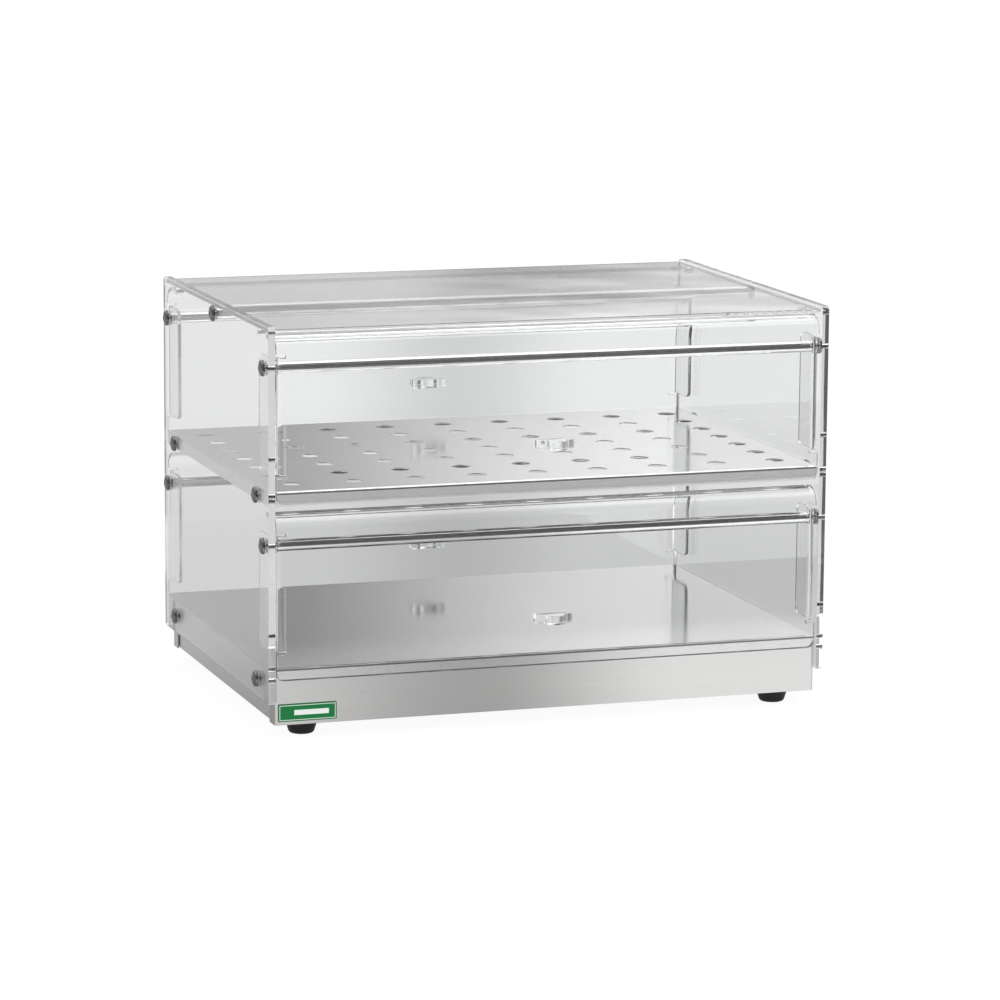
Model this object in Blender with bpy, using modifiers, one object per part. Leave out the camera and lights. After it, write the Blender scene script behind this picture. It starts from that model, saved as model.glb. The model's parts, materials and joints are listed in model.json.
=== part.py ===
"""Two-level countertop hot food display case with four lift-up flap doors.

Metres, +Z up, +X to the right of the customer, front towards -Y.
The origin is on the table, under the middle of the case.
"""
import math

import bmesh
import bpy
from mathutils import Matrix, Vector

# ---- driving sizes ---------------------------------------------------------
WIDTH = 0.500               # over the two side panels
DEPTH = 0.350               # front edge to rear edge of a side panel
HEIGHT = 0.350              # table to the top edge of a side panel

SIDE_THICKNESS = 0.006
SIDE_CORNER = 0.004
SIDE_BOTTOM_GAP = 0.019     # bare strip of the base below a side panel
TOP_THICKNESS = 0.0032
TOP_DROP = 0.0025           # top panel below the side panels' top edges
TOP_INSET = 0.002

FOOT_HEIGHT = 0.012
FOOT_RADIUS = 0.0135
FOOT_TIP_RADIUS = 0.0105
FOOT_INSET_X = 0.036        # foot centre from the outside of a side panel
FOOT_INSET_Y = 0.027

STEEL = 0.0012              # sheet thickness
STEEL_BEND = 0.0025         # outer radius of a folded edge
BASE_HEIGHT = 0.049
BASE_RETURN = 0.016         # side return of the front and rear fascia
SHELF_FLANGE = 0.0125
HOLE_RADIUS = 0.008
HOLE_COLUMNS = 9
HOLE_ROWS = 7
HOLE_SIDES = 10             # flats round each air hole
HOLE_EDGE_X = 0.0253        # outer edge of the deck to the nearest hole centre
HOLE_EDGE_Y = 0.0370

ROD_RADIUS = 0.005
ROD_INSET = 0.015           # hinge rod centre behind the panel's front edge
ROD_TO_DECK = 0.047         # lower hinge rods to the shelf deck
ROD_TO_TOP = 0.036          # upper hinge rods to the case's top

DOOR_SHEET = 0.003
DOOR_FACE_INSET = 0.001     # outer face behind the panels' front edges
DOOR_OVERLAP = 0.0105       # lap of the door's bottom edge over the fascia
DOOR_TONGUE_RISE = 0.028    # top of the curved tongue above the rod axis
DOOR_TONGUE_RADIUS = 0.016
DOOR_FLANGE_DEPTH = 0.039
DOOR_FLANGE_TOP = 0.0095    # above the rod axis
DOOR_FLANGE_CLEAR = 0.0245  # flange's lower edge above the door's lower edge
DOOR_BEND = 0.008
DOOR_RELIEF = 0.0025
DOOR_CORNER = 0.006
KNOB_FROM_EDGE = 0.0415     # knob plate's middle above the door's lower edge

KNOB_THICKNESS = 0.008
KNOB_LOBE_X = 0.01325
KNOB_LOBE_RADIUS = 0.004
KNOB_HEAD_Y = 0.009
KNOB_HEAD_RADIUS = 0.0087
KNOB_FILLET = 0.002

SCREW_HEAD_RADIUS = 0.007
SCREW_HEAD_HEIGHT = 0.0035
SCREW_SHANK_RADIUS = 0.002
SCREW_GRIP = 0.010          # shank beyond the side panel
SIDE_SCREW_INSET = 0.038    # shelf and base screws from the panel's edges
SHELF_SCREW_DROP = 0.0074   # below the shelf deck
BASE_SCREW_DROP = 0.015     # below the base deck

PEG_RADIUS = 0.003
PEG_LENGTH = 0.007

LABEL_WIDTH = 0.051
LABEL_HEIGHT = 0.015
LABEL_THICKNESS = 0.0006
LABEL_MARGIN = 0.003

HEATER_RADIUS = 0.004
HEATER_RUN_X = 0.380        # overall length of the serpentine
HEATER_PITCH = 0.056
HEATER_RUNS = 4
BRACKET_WIDTH = 0.014
BRACKET_THICKNESS = 0.0015
BRACKET_X = 0.105

THERMOSTAT_X = 0.150
SWITCH_X = 0.095
LAMP_X = 0.055
INLET_X = -0.185

# ---- clearances ------------------------------------------------------------
TOUCH = 0.0003              # between pieces that rest on each other
ROD_CLEAR = 0.0004          # door hole round a hinge rod
SCREW_CLEAR = 0.0003        # holes round a screw shank
DOOR_SIDE_CLEAR = 0.0015
TOP_SIDE_CLEAR = 0.0005
MOVE_CLEAR = 0.0004         # round the rocker and the thermostat's spindle

# ---- derived sizes ---------------------------------------------------------
HALF_INNER = WIDTH / 2 - SIDE_THICKNESS
HALF_STEEL = HALF_INNER - TOUCH
FRONT = DEPTH / 2
DOOR_FACE = FRONT - DOOR_FACE_INSET
STEEL_FACE = DOOR_FACE - DOOR_SHEET - TOUCH
BASE_TOP = FOOT_HEIGHT + BASE_HEIGHT
SIDE_BOTTOM = FOOT_HEIGHT + SIDE_BOTTOM_GAP
BAY = (HEIGHT - BASE_TOP - ROD_TO_DECK - ROD_TO_TOP) / 2
DOOR_DROP = BAY + DOOR_OVERLAP
LOWER_ROD_Z = BASE_TOP + BAY
SHELF_TOP = LOWER_ROD_Z + ROD_TO_DECK
UPPER_ROD_Z = SHELF_TOP + BAY
ROD_Y = FRONT - ROD_INSET
TOP_UNDER = HEIGHT - TOP_DROP - TOP_THICKNESS
TOP_ROD_Z = TOP_UNDER - TOUCH - ROD_RADIUS
DOOR_HALF_WIDTH = HALF_INNER - DOOR_SIDE_CLEAR
DOOR_FACE_OUT = ROD_INSET - DOOR_FACE_INSET
CONTROL_Z = FOOT_HEIGHT + (BASE_HEIGHT - DOOR_OVERLAP) / 2     # middle of the bare fascia
HOLE_WALL = SCREW_SHANK_RADIUS + SCREW_CLEAR
SIDE_SCREW_Y = FRONT - SIDE_SCREW_INSET

STAND_YZ = (math.pi / 2, 0, math.pi / 2)    # drawing plane to the Y-Z plane
STAND_XZ = (math.pi / 2, 0, 0)              # drawing plane to the X-Z plane
ALONG_X = (0, math.pi / 2, 0)
ALONG_Y = (math.pi / 2, 0, 0)


for leftover in list(bpy.data.objects):
    bpy.data.objects.remove(leftover, do_unlink=True)

PARTS = bpy.data.collections.new("hot_food_display_case")
CUTTERS = bpy.data.collections.new("cutters")
bpy.context.scene.collection.children.link(PARTS)
bpy.context.scene.collection.children.link(CUTTERS)


# ---- materials -------------------------------------------------------------
def make_material(name, colour, roughness, metallic, alpha=1.0):
    material = bpy.data.materials.new(name)
    material.use_nodes = True
    shader = material.node_tree.nodes["Principled BSDF"]
    shader.inputs["Base Color"].default_value = (*colour, 1.0)
    shader.inputs["Roughness"].default_value = roughness
    shader.inputs["Metallic"].default_value = metallic
    shader.inputs["Alpha"].default_value = alpha
    return material


CLEAR = make_material("clear_acrylic", (0.90, 0.93, 0.93), 0.05, 0.0, 0.3)
BRUSHED = make_material("satin_steel", (0.70, 0.70, 0.69), 0.28, 1.0)
BRIGHT = make_material("bright_steel", (0.78, 0.78, 0.78), 0.12, 1.0)
RUBBER = make_material("black_rubber", (0.02, 0.02, 0.02), 0.75, 0.0)
BLACK = make_material("black_plastic", (0.03, 0.03, 0.03), 0.40, 0.0)
GREEN = make_material("green_label", (0.02, 0.35, 0.12), 0.45, 0.0)
AMBER = make_material("amber_lens", (0.90, 0.35, 0.05), 0.20, 0.0, 0.8)
SHEATH = make_material("heater_sheath", (0.35, 0.34, 0.33), 0.45, 1.0)
ZINC = make_material("plain_steel", (0.55, 0.55, 0.55), 0.40, 1.0)


# ---- building helpers ------------------------------------------------------
def add_object(name, mesh, material=None, location=(0, 0, 0), rotation=(0, 0, 0)):
    """Put a mesh in the case, or among the cutters when it has no material."""
    thing = bpy.data.objects.new(name, mesh)
    thing.location = location
    thing.rotation_euler = rotation
    if material is None:
        CUTTERS.objects.link(thing)
        thing.hide_render = True
        thing.display_type = "WIRE"
    else:
        PARTS.objects.link(thing)
        if not mesh.materials:
            mesh.materials.append(material)
    return thing


def to_mesh(name, form):
    mesh = bpy.data.meshes.new(name)
    form.to_mesh(mesh)
    form.free()
    return mesh


def boxes(name, sizes_and_centres, material=None, location=(0, 0, 0), rotation=(0, 0, 0)):
    """One object of separate boxes, each given as (size, centre)."""
    form = bmesh.new()
    for size, centre in sizes_and_centres:
        place = Matrix.Translation(centre) @ Matrix.Diagonal((*size, 1))
        bmesh.ops.create_cube(form, size=1, matrix=place)
    return add_object(name, to_mesh(name, form), material, location, rotation)


def rods(name, radius, length, centres, rotation, sides=12, material=None):
    """One object of separate round bars that all lie along one direction."""
    form = bmesh.new()
    turn = Matrix.Rotation(rotation[1], 4, "Y") @ Matrix.Rotation(rotation[0], 4, "X")
    for centre in centres:
        bmesh.ops.create_cone(
            form, cap_ends=True, segments=sides, radius1=radius, radius2=radius,
            depth=length, matrix=Matrix.Translation(centre) @ turn)
    return add_object(name, to_mesh(name, form), material)


def fresh_mesh(thing, weld=0.000001):
    """The object's finished shape as a plain mesh with its caps welded."""
    bpy.context.view_layer.update()
    seen = thing.evaluated_get(bpy.context.evaluated_depsgraph_get())
    mesh = bpy.data.meshes.new_from_object(seen)
    form = bmesh.new()
    form.from_mesh(mesh)
    bmesh.ops.remove_doubles(form, verts=form.verts, dist=weld)
    bmesh.ops.recalc_face_normals(form, faces=form.faces)
    form.to_mesh(mesh)
    form.free()
    return mesh


def settle(thing):
    """Apply an object's modifiers, so that its mesh can be shared."""
    mesh = fresh_mesh(thing)
    thing.modifiers.clear()
    thing.data = mesh
    return thing


def drawn_plate(name, outline, thickness, material=None, location=(0, 0, 0), rotation=(0, 0, 0)):
    """A closed outline in the drawing plane, thickened about it."""
    curve = bpy.data.curves.new(name, "CURVE")
    curve.dimensions = "2D"
    curve.fill_mode = "BOTH"
    curve.extrude = thickness / 2
    spline = curve.splines.new("POLY")
    spline.points.add(len(outline) - 1)
    for point, (across, up) in zip(spline.points, outline):
        point.co = (across, up, 0, 1)
    spline.use_cyclic_u = True
    drawing = bpy.data.objects.new(name + "_drawing", curve)
    CUTTERS.objects.link(drawing)
    mesh = fresh_mesh(drawing)
    mesh.name = name
    bpy.data.objects.remove(drawing, do_unlink=True)
    return add_object(name, mesh, material, location, rotation)


def turned(name, profile, material=None, location=(0, 0, 0), rotation=(0, 0, 0), sides=24):
    """A profile of (radius, height) points from top to bottom, turned about Z."""
    form = bmesh.new()
    rim = [form.verts.new((radius, 0, height)) for radius, height in profile]
    for upper, lower in zip(rim, rim[1:]):
        form.edges.new((upper, lower))
    thing = add_object(name, to_mesh(name, form), material, location, rotation)
    screw = thing.modifiers.new("turn", "SCREW")
    screw.steps = sides
    screw.render_steps = sides
    screw.use_merge_vertices = True
    screw.merge_threshold = 0.00001
    shape = settle(thing).data
    shape.shade_smooth()
    shape.set_sharp_from_angle(angle=math.radians(35))
    return thing


def add_bevel(thing, width, segments=2, angle=30):
    bevel = thing.modifiers.new("soft_edges", "BEVEL")
    bevel.width = width
    bevel.segments = segments
    bevel.limit_method = "ANGLE"
    bevel.angle_limit = math.radians(angle)
    return thing


def combine(thing, tool, how="DIFFERENCE"):
    step = thing.modifiers.new(tool.name, "BOOLEAN")
    step.operation = how
    step.object = tool
    return thing


def copies(first, names_and_places):
    """More objects that share the first one's mesh."""
    made = [first]
    for name, location, rotation in names_and_places:
        twin = bpy.data.objects.new(name, first.data)
        twin.location = location
        twin.rotation_euler = rotation
        PARTS.objects.link(twin)
        made.append(twin)
    return made


def arc(centre, radius, start, end, steps):
    """Points on a circle from one angle to another, in degrees."""
    sweep = [math.radians(start + (end - start) * i / steps) for i in range(steps + 1)]
    return [(centre[0] + radius * math.cos(a), centre[1] + radius * math.sin(a)) for a in sweep]


def rounded_rectangle(left, low, right, high, radii, steps=4):
    """Corner radii in the order low left, low right, high right, high left."""
    corners = [(left, low, 1, 1, 180), (right, low, -1, 1, 270),
               (right, high, -1, -1, 0), (left, high, 1, -1, 90)]
    outline = []
    for (x, y, inward_x, inward_y, start), radius in zip(corners, radii):
        if radius <= 0:
            outline.append((x, y))
            continue
        centre = (x + inward_x * radius, y + inward_y * radius)
        outline += arc(centre, radius, start, start + 90, steps)
    return outline


def folded_tray(name, half_x, half_y, height, top, material):
    """A steel deck with four down-turned walls, open underneath."""
    form = bmesh.new()
    place = Matrix.Translation((0, 0, -height / 2)) @ Matrix.Diagonal((2 * half_x, 2 * half_y, height, 1))
    bmesh.ops.create_cube(form, size=1, matrix=place)
    under = [face for face in form.faces if face.normal.z < -0.5]
    bmesh.ops.delete(form, geom=under, context="FACES_ONLY")
    folds = [edge for edge in form.edges if not edge.is_boundary]
    bmesh.ops.bevel(form, geom=folds, offset=STEEL_BEND, segments=2, profile=0.5, affect="EDGES")
    tray = add_object(name, to_mesh(name, form), material, (0, 0, top))
    wall = tray.modifiers.new("sheet", "SOLIDIFY")
    wall.thickness = STEEL
    wall.offset = -1
    wall.use_even_offset = True
    return tray


# ---- screw places ----------------------------------------------------------
HINGE_RODS = {
    "front_upper": (-ROD_Y, UPPER_ROD_Z),
    "rear_upper": (ROD_Y, UPPER_ROD_Z),
    "front_lower": (-ROD_Y, LOWER_ROD_Z),
    "rear_lower": (ROD_Y, LOWER_ROD_Z),
}
ROD_PLACES = {**{"hinge_rod_" + name: place for name, place in HINGE_RODS.items()},
              "top_support_rod": (0, TOP_ROD_Z)}
SHELF_SCREWS = {"shelf_front": (-SIDE_SCREW_Y, SHELF_TOP - SHELF_SCREW_DROP),
                "shelf_rear": (SIDE_SCREW_Y, SHELF_TOP - SHELF_SCREW_DROP)}
BASE_SCREWS = {"base_front": (-SIDE_SCREW_Y, BASE_TOP - BASE_SCREW_DROP),
               "base_rear": (SIDE_SCREW_Y, BASE_TOP - BASE_SCREW_DROP)}
SCREW_PLACES = {**{name.replace("hinge_rod_", "rod_").replace("_support_rod", "_rod"): place
                   for name, place in ROD_PLACES.items()},
                **SHELF_SCREWS, **BASE_SCREWS}
SIDES = {"left": -1, "right": 1}


def side_bar_cutter(name, places, radius, length, centre_x):
    """Round cutters along X at both sides of the case."""
    centres = [(side * centre_x, y, z) for side in SIDES.values() for y, z in places]
    return rods(name, radius, length, centres, ALONG_X)


# ---- clear panels ----------------------------------------------------------
def make_side_panels():
    outline = rounded_rectangle(-FRONT, SIDE_BOTTOM, FRONT, HEIGHT,
                                (SIDE_CORNER / 2, SIDE_CORNER / 2, SIDE_CORNER, SIDE_CORNER))
    holes = side_bar_cutter("side_holes", SCREW_PLACES.values(), HOLE_WALL,
                            SIDE_THICKNESS * 3, WIDTH / 2 - SIDE_THICKNESS / 2)
    for name, side in SIDES.items():
        place = (side * (WIDTH - SIDE_THICKNESS) / 2, 0, 0)
        panel = drawn_plate(f"{name}_side_panel", outline, SIDE_THICKNESS, CLEAR, place, STAND_YZ)
        combine(panel, holes)


def make_top_panel():
    half_x = HALF_INNER - TOP_SIDE_CLEAR
    half_y = FRONT - TOP_INSET
    outline = rounded_rectangle(-half_x, -half_y, half_x, half_y, (0.002,) * 4, 3)
    drawn_plate("top_panel", outline, TOP_THICKNESS, CLEAR, (0, 0, TOP_UNDER + TOP_THICKNESS / 2))


def make_pegs():
    """Small pins on the side panels that hold the top panel's corners."""
    height = TOP_UNDER - TOUCH - PEG_RADIUS
    for side_name, side in SIDES.items():
        for end_name, end in (("front", -1), ("rear", 1)):
            place = (side * (HALF_INNER - TOUCH - PEG_LENGTH / 2), end * SIDE_SCREW_Y, height)
            rods(f"top_peg_{end_name}_{side_name}", PEG_RADIUS, PEG_LENGTH, [place],
                 ALONG_X, 16, BRIGHT)


# ---- steel base and shelf --------------------------------------------------
def make_base():
    cover = folded_tray("base_cover", HALF_STEEL, STEEL_FACE, BASE_HEIGHT, BASE_TOP, BRUSHED)
    open_y = STEEL_FACE - BASE_RETURN
    open_top = BASE_TOP - STEEL_BEND - STEEL
    middle = (FOOT_HEIGHT - STEEL + open_top) / 2
    side_gap = boxes("cover_side_gaps", [((WIDTH, 2 * open_y, open_top - FOOT_HEIGHT + STEEL),
                                          (0, 0, middle))])
    combine(cover, side_gap)
    rear = STEEL_FACE - STEEL / 2
    cutouts = boxes("control_cutouts", [
        ((SWITCH["hole_x"], STEEL * 4, SWITCH["hole_z"]), (SWITCH_X, rear, CONTROL_Z)),
        ((INLET["hole_x"], STEEL * 4, INLET["hole_z"]), (INLET_X, rear, CONTROL_Z))])
    combine(cover, cutouts)
    for name, radius, across in (("spindle_hole", THERMOSTAT["hole"], THERMOSTAT_X),
                                 ("lamp_hole", LAMP["hole"], LAMP_X)):
        combine(cover, rods(name, radius, STEEL * 4, [(across, rear, CONTROL_Z)], ALONG_Y))

    half_x = HALF_STEEL - STEEL - TOUCH
    wall_top = BASE_TOP - STEEL_BEND - TOUCH
    outline = ([(-half_x, wall_top)]
               + arc((-half_x + STEEL_BEND, FOOT_HEIGHT + STEEL_BEND), STEEL_BEND, 180, 270, 3)
               + arc((half_x - STEEL_BEND, FOOT_HEIGHT + STEEL_BEND), STEEL_BEND, 270, 360, 3)
               + [(half_x, wall_top), (half_x - STEEL, wall_top)]
               + arc((half_x - STEEL_BEND, FOOT_HEIGHT + STEEL_BEND), STEEL_BEND - STEEL, 360, 270, 3)
               + arc((-half_x + STEEL_BEND, FOOT_HEIGHT + STEEL_BEND), STEEL_BEND - STEEL, 270, 180, 3)
               + [(-half_x + STEEL, wall_top)])
    length = 2 * (STEEL_FACE - STEEL_BEND - TOUCH)
    chassis = drawn_plate("base_chassis", outline, length, BRUSHED, (0, 0, 0), STAND_XZ)
    combine(chassis, side_bar_cutter("base_screw_holes", BASE_SCREWS.values(), HOLE_WALL,
                                     STEEL * 6, half_x))
    combine(chassis, rods("foot_screw_holes", FOOT_SCREW["shank"] + SCREW_CLEAR, STEEL * 6,
                          [(x, y, FOOT_HEIGHT + STEEL / 2) for x, y in foot_places().values()],
                          (0, 0, 0)))


def hole_places():
    """Centres of the deck's air holes, an even grid between the edge margins."""
    first_x = -HALF_STEEL + HOLE_EDGE_X
    first_y = -STEEL_FACE + HOLE_EDGE_Y
    step_x = -2 * first_x / (HOLE_COLUMNS - 1)
    step_y = -2 * first_y / (HOLE_ROWS - 1)
    return [(first_x + step_x * column, first_y + step_y * row)
            for row in range(HOLE_ROWS) for column in range(HOLE_COLUMNS)]


def make_shelf():
    shelf = folded_tray("shelf", HALF_STEEL, STEEL_FACE, SHELF_FLANGE, SHELF_TOP, BRUSHED)
    centres = [(x, y, SHELF_TOP - STEEL / 2) for x, y in hole_places()]
    combine(shelf, rods("shelf_air_holes", HOLE_RADIUS, STEEL * 4, centres, (0, 0, 0), HOLE_SIDES))
    combine(shelf, side_bar_cutter("shelf_screw_holes", SHELF_SCREWS.values(), HOLE_WALL,
                                   STEEL * 6, HALF_STEEL))


# ---- rods and screws -------------------------------------------------------
def make_rods():
    length = 2 * (HALF_INNER - TOUCH)
    tapped = rods("tapped_ends", HOLE_WALL, 2 * (SCREW_GRIP + TOUCH + SCREW_CLEAR),
                  [(0, 0, end * length / 2) for end in (-1, 1)], (0, 0, 0), 12)
    first_name, (first_y, first_z) = next(iter(ROD_PLACES.items()))
    form = bmesh.new()
    bmesh.ops.create_cone(form, cap_ends=True, segments=24, radius1=ROD_RADIUS,
                          radius2=ROD_RADIUS, depth=length)
    rod = add_object(first_name, to_mesh(first_name, form), BRIGHT)
    settle(combine(rod, tapped))
    rod.data.shade_smooth()
    rod.data.set_sharp_from_angle(angle=math.radians(35))
    rod.location = (0, first_y, first_z)
    rod.rotation_euler = ALONG_X
    others = [(name, (0, y, z), ALONG_X) for name, (y, z) in ROD_PLACES.items() if name != first_name]
    copies(rod, others)


def make_screws():
    """Dome-headed screws with a cross recess; the head's underside is at local Z 0."""
    length = SIDE_THICKNESS + 2 * TOUCH + SCREW_GRIP
    flat = SCREW_HEAD_RADIUS * 0.22
    rim = SCREW_HEAD_HEIGHT * 0.25
    dome = [(flat + (SCREW_HEAD_RADIUS - flat) * math.sin(a),
             rim + (SCREW_HEAD_HEIGHT - rim) * math.cos(a))
            for a in (math.radians(30 * i) for i in range(4))]
    profile = [(0, SCREW_HEAD_HEIGHT), *dome, (SCREW_HEAD_RADIUS, 0), (SCREW_SHANK_RADIUS, 0),
               (SCREW_SHANK_RADIUS, -length), (0, -length)]
    blade = (SCREW_HEAD_RADIUS * 1.1, SCREW_HEAD_RADIUS * 0.2, SCREW_HEAD_HEIGHT)
    cuts = [boxes(f"cross_recess_{i}", [(size, (0, 0, SCREW_HEAD_HEIGHT * 0.95))])
            for i, size in enumerate((blade, (blade[1], blade[0], blade[2])))]
    first = None
    for side_name, side in SIDES.items():
        for place_name, (y, z) in SCREW_PLACES.items():
            name = f"screw_{place_name}_{side_name}"
            place = (side * (WIDTH / 2 + TOUCH), y, z)
            turn = (0, side * math.pi / 2, 0)
            if first is None:
                first = turned(name, profile, BRIGHT, sides=12)
                for cut in cuts:
                    combine(first, cut)
                settle(first)
                first.location = place
                first.rotation_euler = turn
            else:
                copies(first, [(name, place, turn)])


# ---- doors -----------------------------------------------------------------
def door_mesh():
    """One bent acrylic flap, drawn with its hinge axis along X at the origin."""
    out = -DOOR_FACE_OUT
    inn = out + DOOR_SHEET
    bend_z = DOOR_TONGUE_RISE - DOOR_TONGUE_RADIUS
    bend_y = out + DOOR_TONGUE_RADIUS
    flange_low = -DOOR_DROP + DOOR_FLANGE_CLEAR
    profile = ([(out, -DOOR_DROP)] + [(inn, -DOOR_DROP)]
               + arc((bend_y, bend_z), DOOR_TONGUE_RADIUS - DOOR_SHEET, 180, 90, 8)
               + arc((bend_y, bend_z), DOOR_TONGUE_RADIUS, 90, 180, 8))
    door = drawn_plate("door_shape", profile, 2 * DOOR_HALF_WIDTH, None, (0, 0, 0), STAND_YZ)

    corner = rounded_rectangle(-DOOR_HALF_WIDTH, -DOOR_DROP, DOOR_HALF_WIDTH,
                               DOOR_TONGUE_RISE * 2, (DOOR_CORNER, DOOR_CORNER, 0, 0))
    combine(door, drawn_plate("door_front_outline", corner, DOOR_TONGUE_RADIUS * 4, None,
                              (0, 0, 0), STAND_XZ), "INTERSECT")

    notch_low = flange_low - DOOR_RELIEF
    notch_high = DOOR_FLANGE_TOP + DOOR_RELIEF
    notch = (2 * DOOR_BEND, DOOR_BEND, notch_high - notch_low)
    combine(door, boxes("door_side_notches", [
        (notch, (side * DOOR_HALF_WIDTH, out + DOOR_SHEET / 2, (notch_low + notch_high) / 2))
        for side in SIDES.values()]))

    for side_name, side in SIDES.items():
        edge = DOOR_HALF_WIDTH
        turn = (edge - DOOR_BEND, out + DOOR_BEND)
        back = out + DOOR_FLANGE_DEPTH
        root = edge - DOOR_BEND - DOOR_SHEET
        section = ([(root, inn), (root, out)]
                   + arc(turn, DOOR_BEND, 270, 360, 6)
                   + [(edge, back), (edge - DOOR_SHEET, back)]
                   + arc(turn, DOOR_BEND - DOOR_SHEET, 360, 270, 6))
        section = [(side * x, y) for x, y in section]
        height = DOOR_FLANGE_TOP - flange_low
        middle = (DOOR_FLANGE_TOP + flange_low) / 2
        flange = drawn_plate(f"door_flange_{side_name}", section, height, None, (0, 0, middle))
        trim = rounded_rectangle(out - DOOR_BEND, flange_low, back, DOOR_FLANGE_TOP,
                                 (0, DOOR_CORNER, DOOR_CORNER, 0))
        combine(flange, drawn_plate(f"door_flange_trim_{side_name}", trim, WIDTH * 2, None,
                                    (0, 0, 0), STAND_YZ), "INTERSECT")
        combine(door, flange, "UNION")

    combine(door, rods("door_rod_holes", ROD_RADIUS + ROD_CLEAR, WIDTH * 2, [(0, 0, 0)],
                       ALONG_X, 24))
    mesh = fresh_mesh(door)
    mesh.name = "flap_door"
    mesh.transform(Matrix.Rotation(math.pi / 2, 4, "Z") @ Matrix.Rotation(math.pi / 2, 4, "X"))
    bpy.data.objects.remove(door, do_unlink=True)
    return mesh


def knob_mesh():
    """A three-lobed clear plate; local Y 0 is the face glued to the door."""
    lobe = Vector((KNOB_LOBE_X, -KNOB_LOBE_RADIUS))
    head = Vector((0, -KNOB_HEAD_Y))
    to_lobe = KNOB_LOBE_RADIUS + KNOB_FILLET
    to_head = KNOB_HEAD_RADIUS + KNOB_FILLET
    between = head - lobe
    along = (to_lobe ** 2 - to_head ** 2 + between.length ** 2) / (2 * between.length)
    aside = math.sqrt(to_lobe ** 2 - along ** 2)
    step = between.normalized()
    fillet = lobe + step * along + Vector((-step.y, step.x)) * aside

    def angle(origin, target):
        return math.degrees(math.atan2(target.y - origin.y, target.x - origin.x))

    lobe_end = angle(lobe, fillet)
    head_end = angle(head, fillet)
    right = (arc(lobe, KNOB_LOBE_RADIUS, 90, lobe_end, 8)
             + arc(fillet, KNOB_FILLET, lobe_end + 180, head_end + 180, 4)[1:]
             + arc(head, KNOB_HEAD_RADIUS, head_end, -90, 6)[1:])
    left = [(-x, y) for x, y in reversed(right[:-1])]
    plate = drawn_plate("knob_shape", right + left, KNOB_THICKNESS)
    mesh = fresh_mesh(plate)
    mesh.name = "knob"
    bpy.data.objects.remove(plate, do_unlink=True)
    return mesh


def make_doors():
    door_shape = door_mesh()
    knob_shape = knob_mesh()
    knob_place = (0, -DOOR_FACE_OUT - TOUCH, -DOOR_DROP + KNOB_FROM_EDGE)
    for name, (y, z) in HINGE_RODS.items():
        turn = 0 if y < 0 else math.pi
        door = add_object(f"{name}_door", door_shape, CLEAR, (0, y, z), (0, 0, turn))
        knob = add_object(f"{name}_door_knob", knob_shape, CLEAR, knob_place)
        knob.parent = door


# ---- feet ------------------------------------------------------------------
FOOT_SCREW = {"head": 0.0042, "head_height": 0.0026, "shank": 0.002, "above": 0.005}


def foot_places():
    x = WIDTH / 2 - FOOT_INSET_X
    y = FRONT - FOOT_INSET_Y
    return {"front_left": (-x, -y), "front_right": (x, -y),
            "rear_left": (-x, y), "rear_right": (x, y)}


def make_feet():
    top = FOOT_HEIGHT - TOUCH
    bore = FOOT_SCREW["shank"] + SCREW_CLEAR
    pocket = FOOT_SCREW["head"] + SCREW_CLEAR
    pocket_top = FOOT_HEIGHT * 0.55
    rounding = 0.002
    toe = [(FOOT_TIP_RADIUS - rounding + rounding * math.cos(a), rounding - rounding * math.sin(a))
           for a in (math.radians(30 * i) for i in range(4))]
    foot_profile = [(bore, top), (FOOT_RADIUS, top), (FOOT_RADIUS, top - 0.002), *toe,
                    (pocket, 0), (pocket, pocket_top), (bore, pocket_top), (bore, top)]
    head_low = pocket_top - TOUCH - FOOT_SCREW["head_height"]
    head_top = head_low + FOOT_SCREW["head_height"]
    screw_profile = [(0, FOOT_HEIGHT + FOOT_SCREW["above"]),
                     (FOOT_SCREW["shank"], FOOT_HEIGHT + FOOT_SCREW["above"]),
                     (FOOT_SCREW["shank"], head_top), (FOOT_SCREW["head"], head_top),
                     (FOOT_SCREW["head"], head_low + 0.001), (FOOT_SCREW["head"] * 0.6, head_low),
                     (0, head_low)]
    places = list(foot_places().items())
    foot_name, (x, y) = places[0]
    foot = turned(f"foot_{foot_name}", foot_profile, RUBBER, (x, y, 0), sides=16)
    screw = turned(f"foot_screw_{foot_name}", screw_profile, ZINC, (x, y, 0), sides=12)
    for name, (x, y) in places[1:]:
        copies(foot, [(f"foot_{name}", (x, y, 0), (0, 0, 0))])
        copies(screw, [(f"foot_screw_{name}", (x, y, 0), (0, 0, 0))])


def make_label():
    """Plain coloured plate at the fascia's lower left corner."""
    outline = rounded_rectangle(-LABEL_WIDTH / 2, -LABEL_HEIGHT / 2, LABEL_WIDTH / 2,
                                LABEL_HEIGHT / 2, (0.0008,) * 4, 2)
    place = (-HALF_STEEL + LABEL_MARGIN + LABEL_WIDTH / 2,
             -STEEL_FACE - TOUCH - LABEL_THICKNESS / 2,
             FOOT_HEIGHT + LABEL_MARGIN + LABEL_HEIGHT / 2)
    drawn_plate("label_plate", outline, LABEL_THICKNESS, GREEN, place, STAND_XZ)


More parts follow.
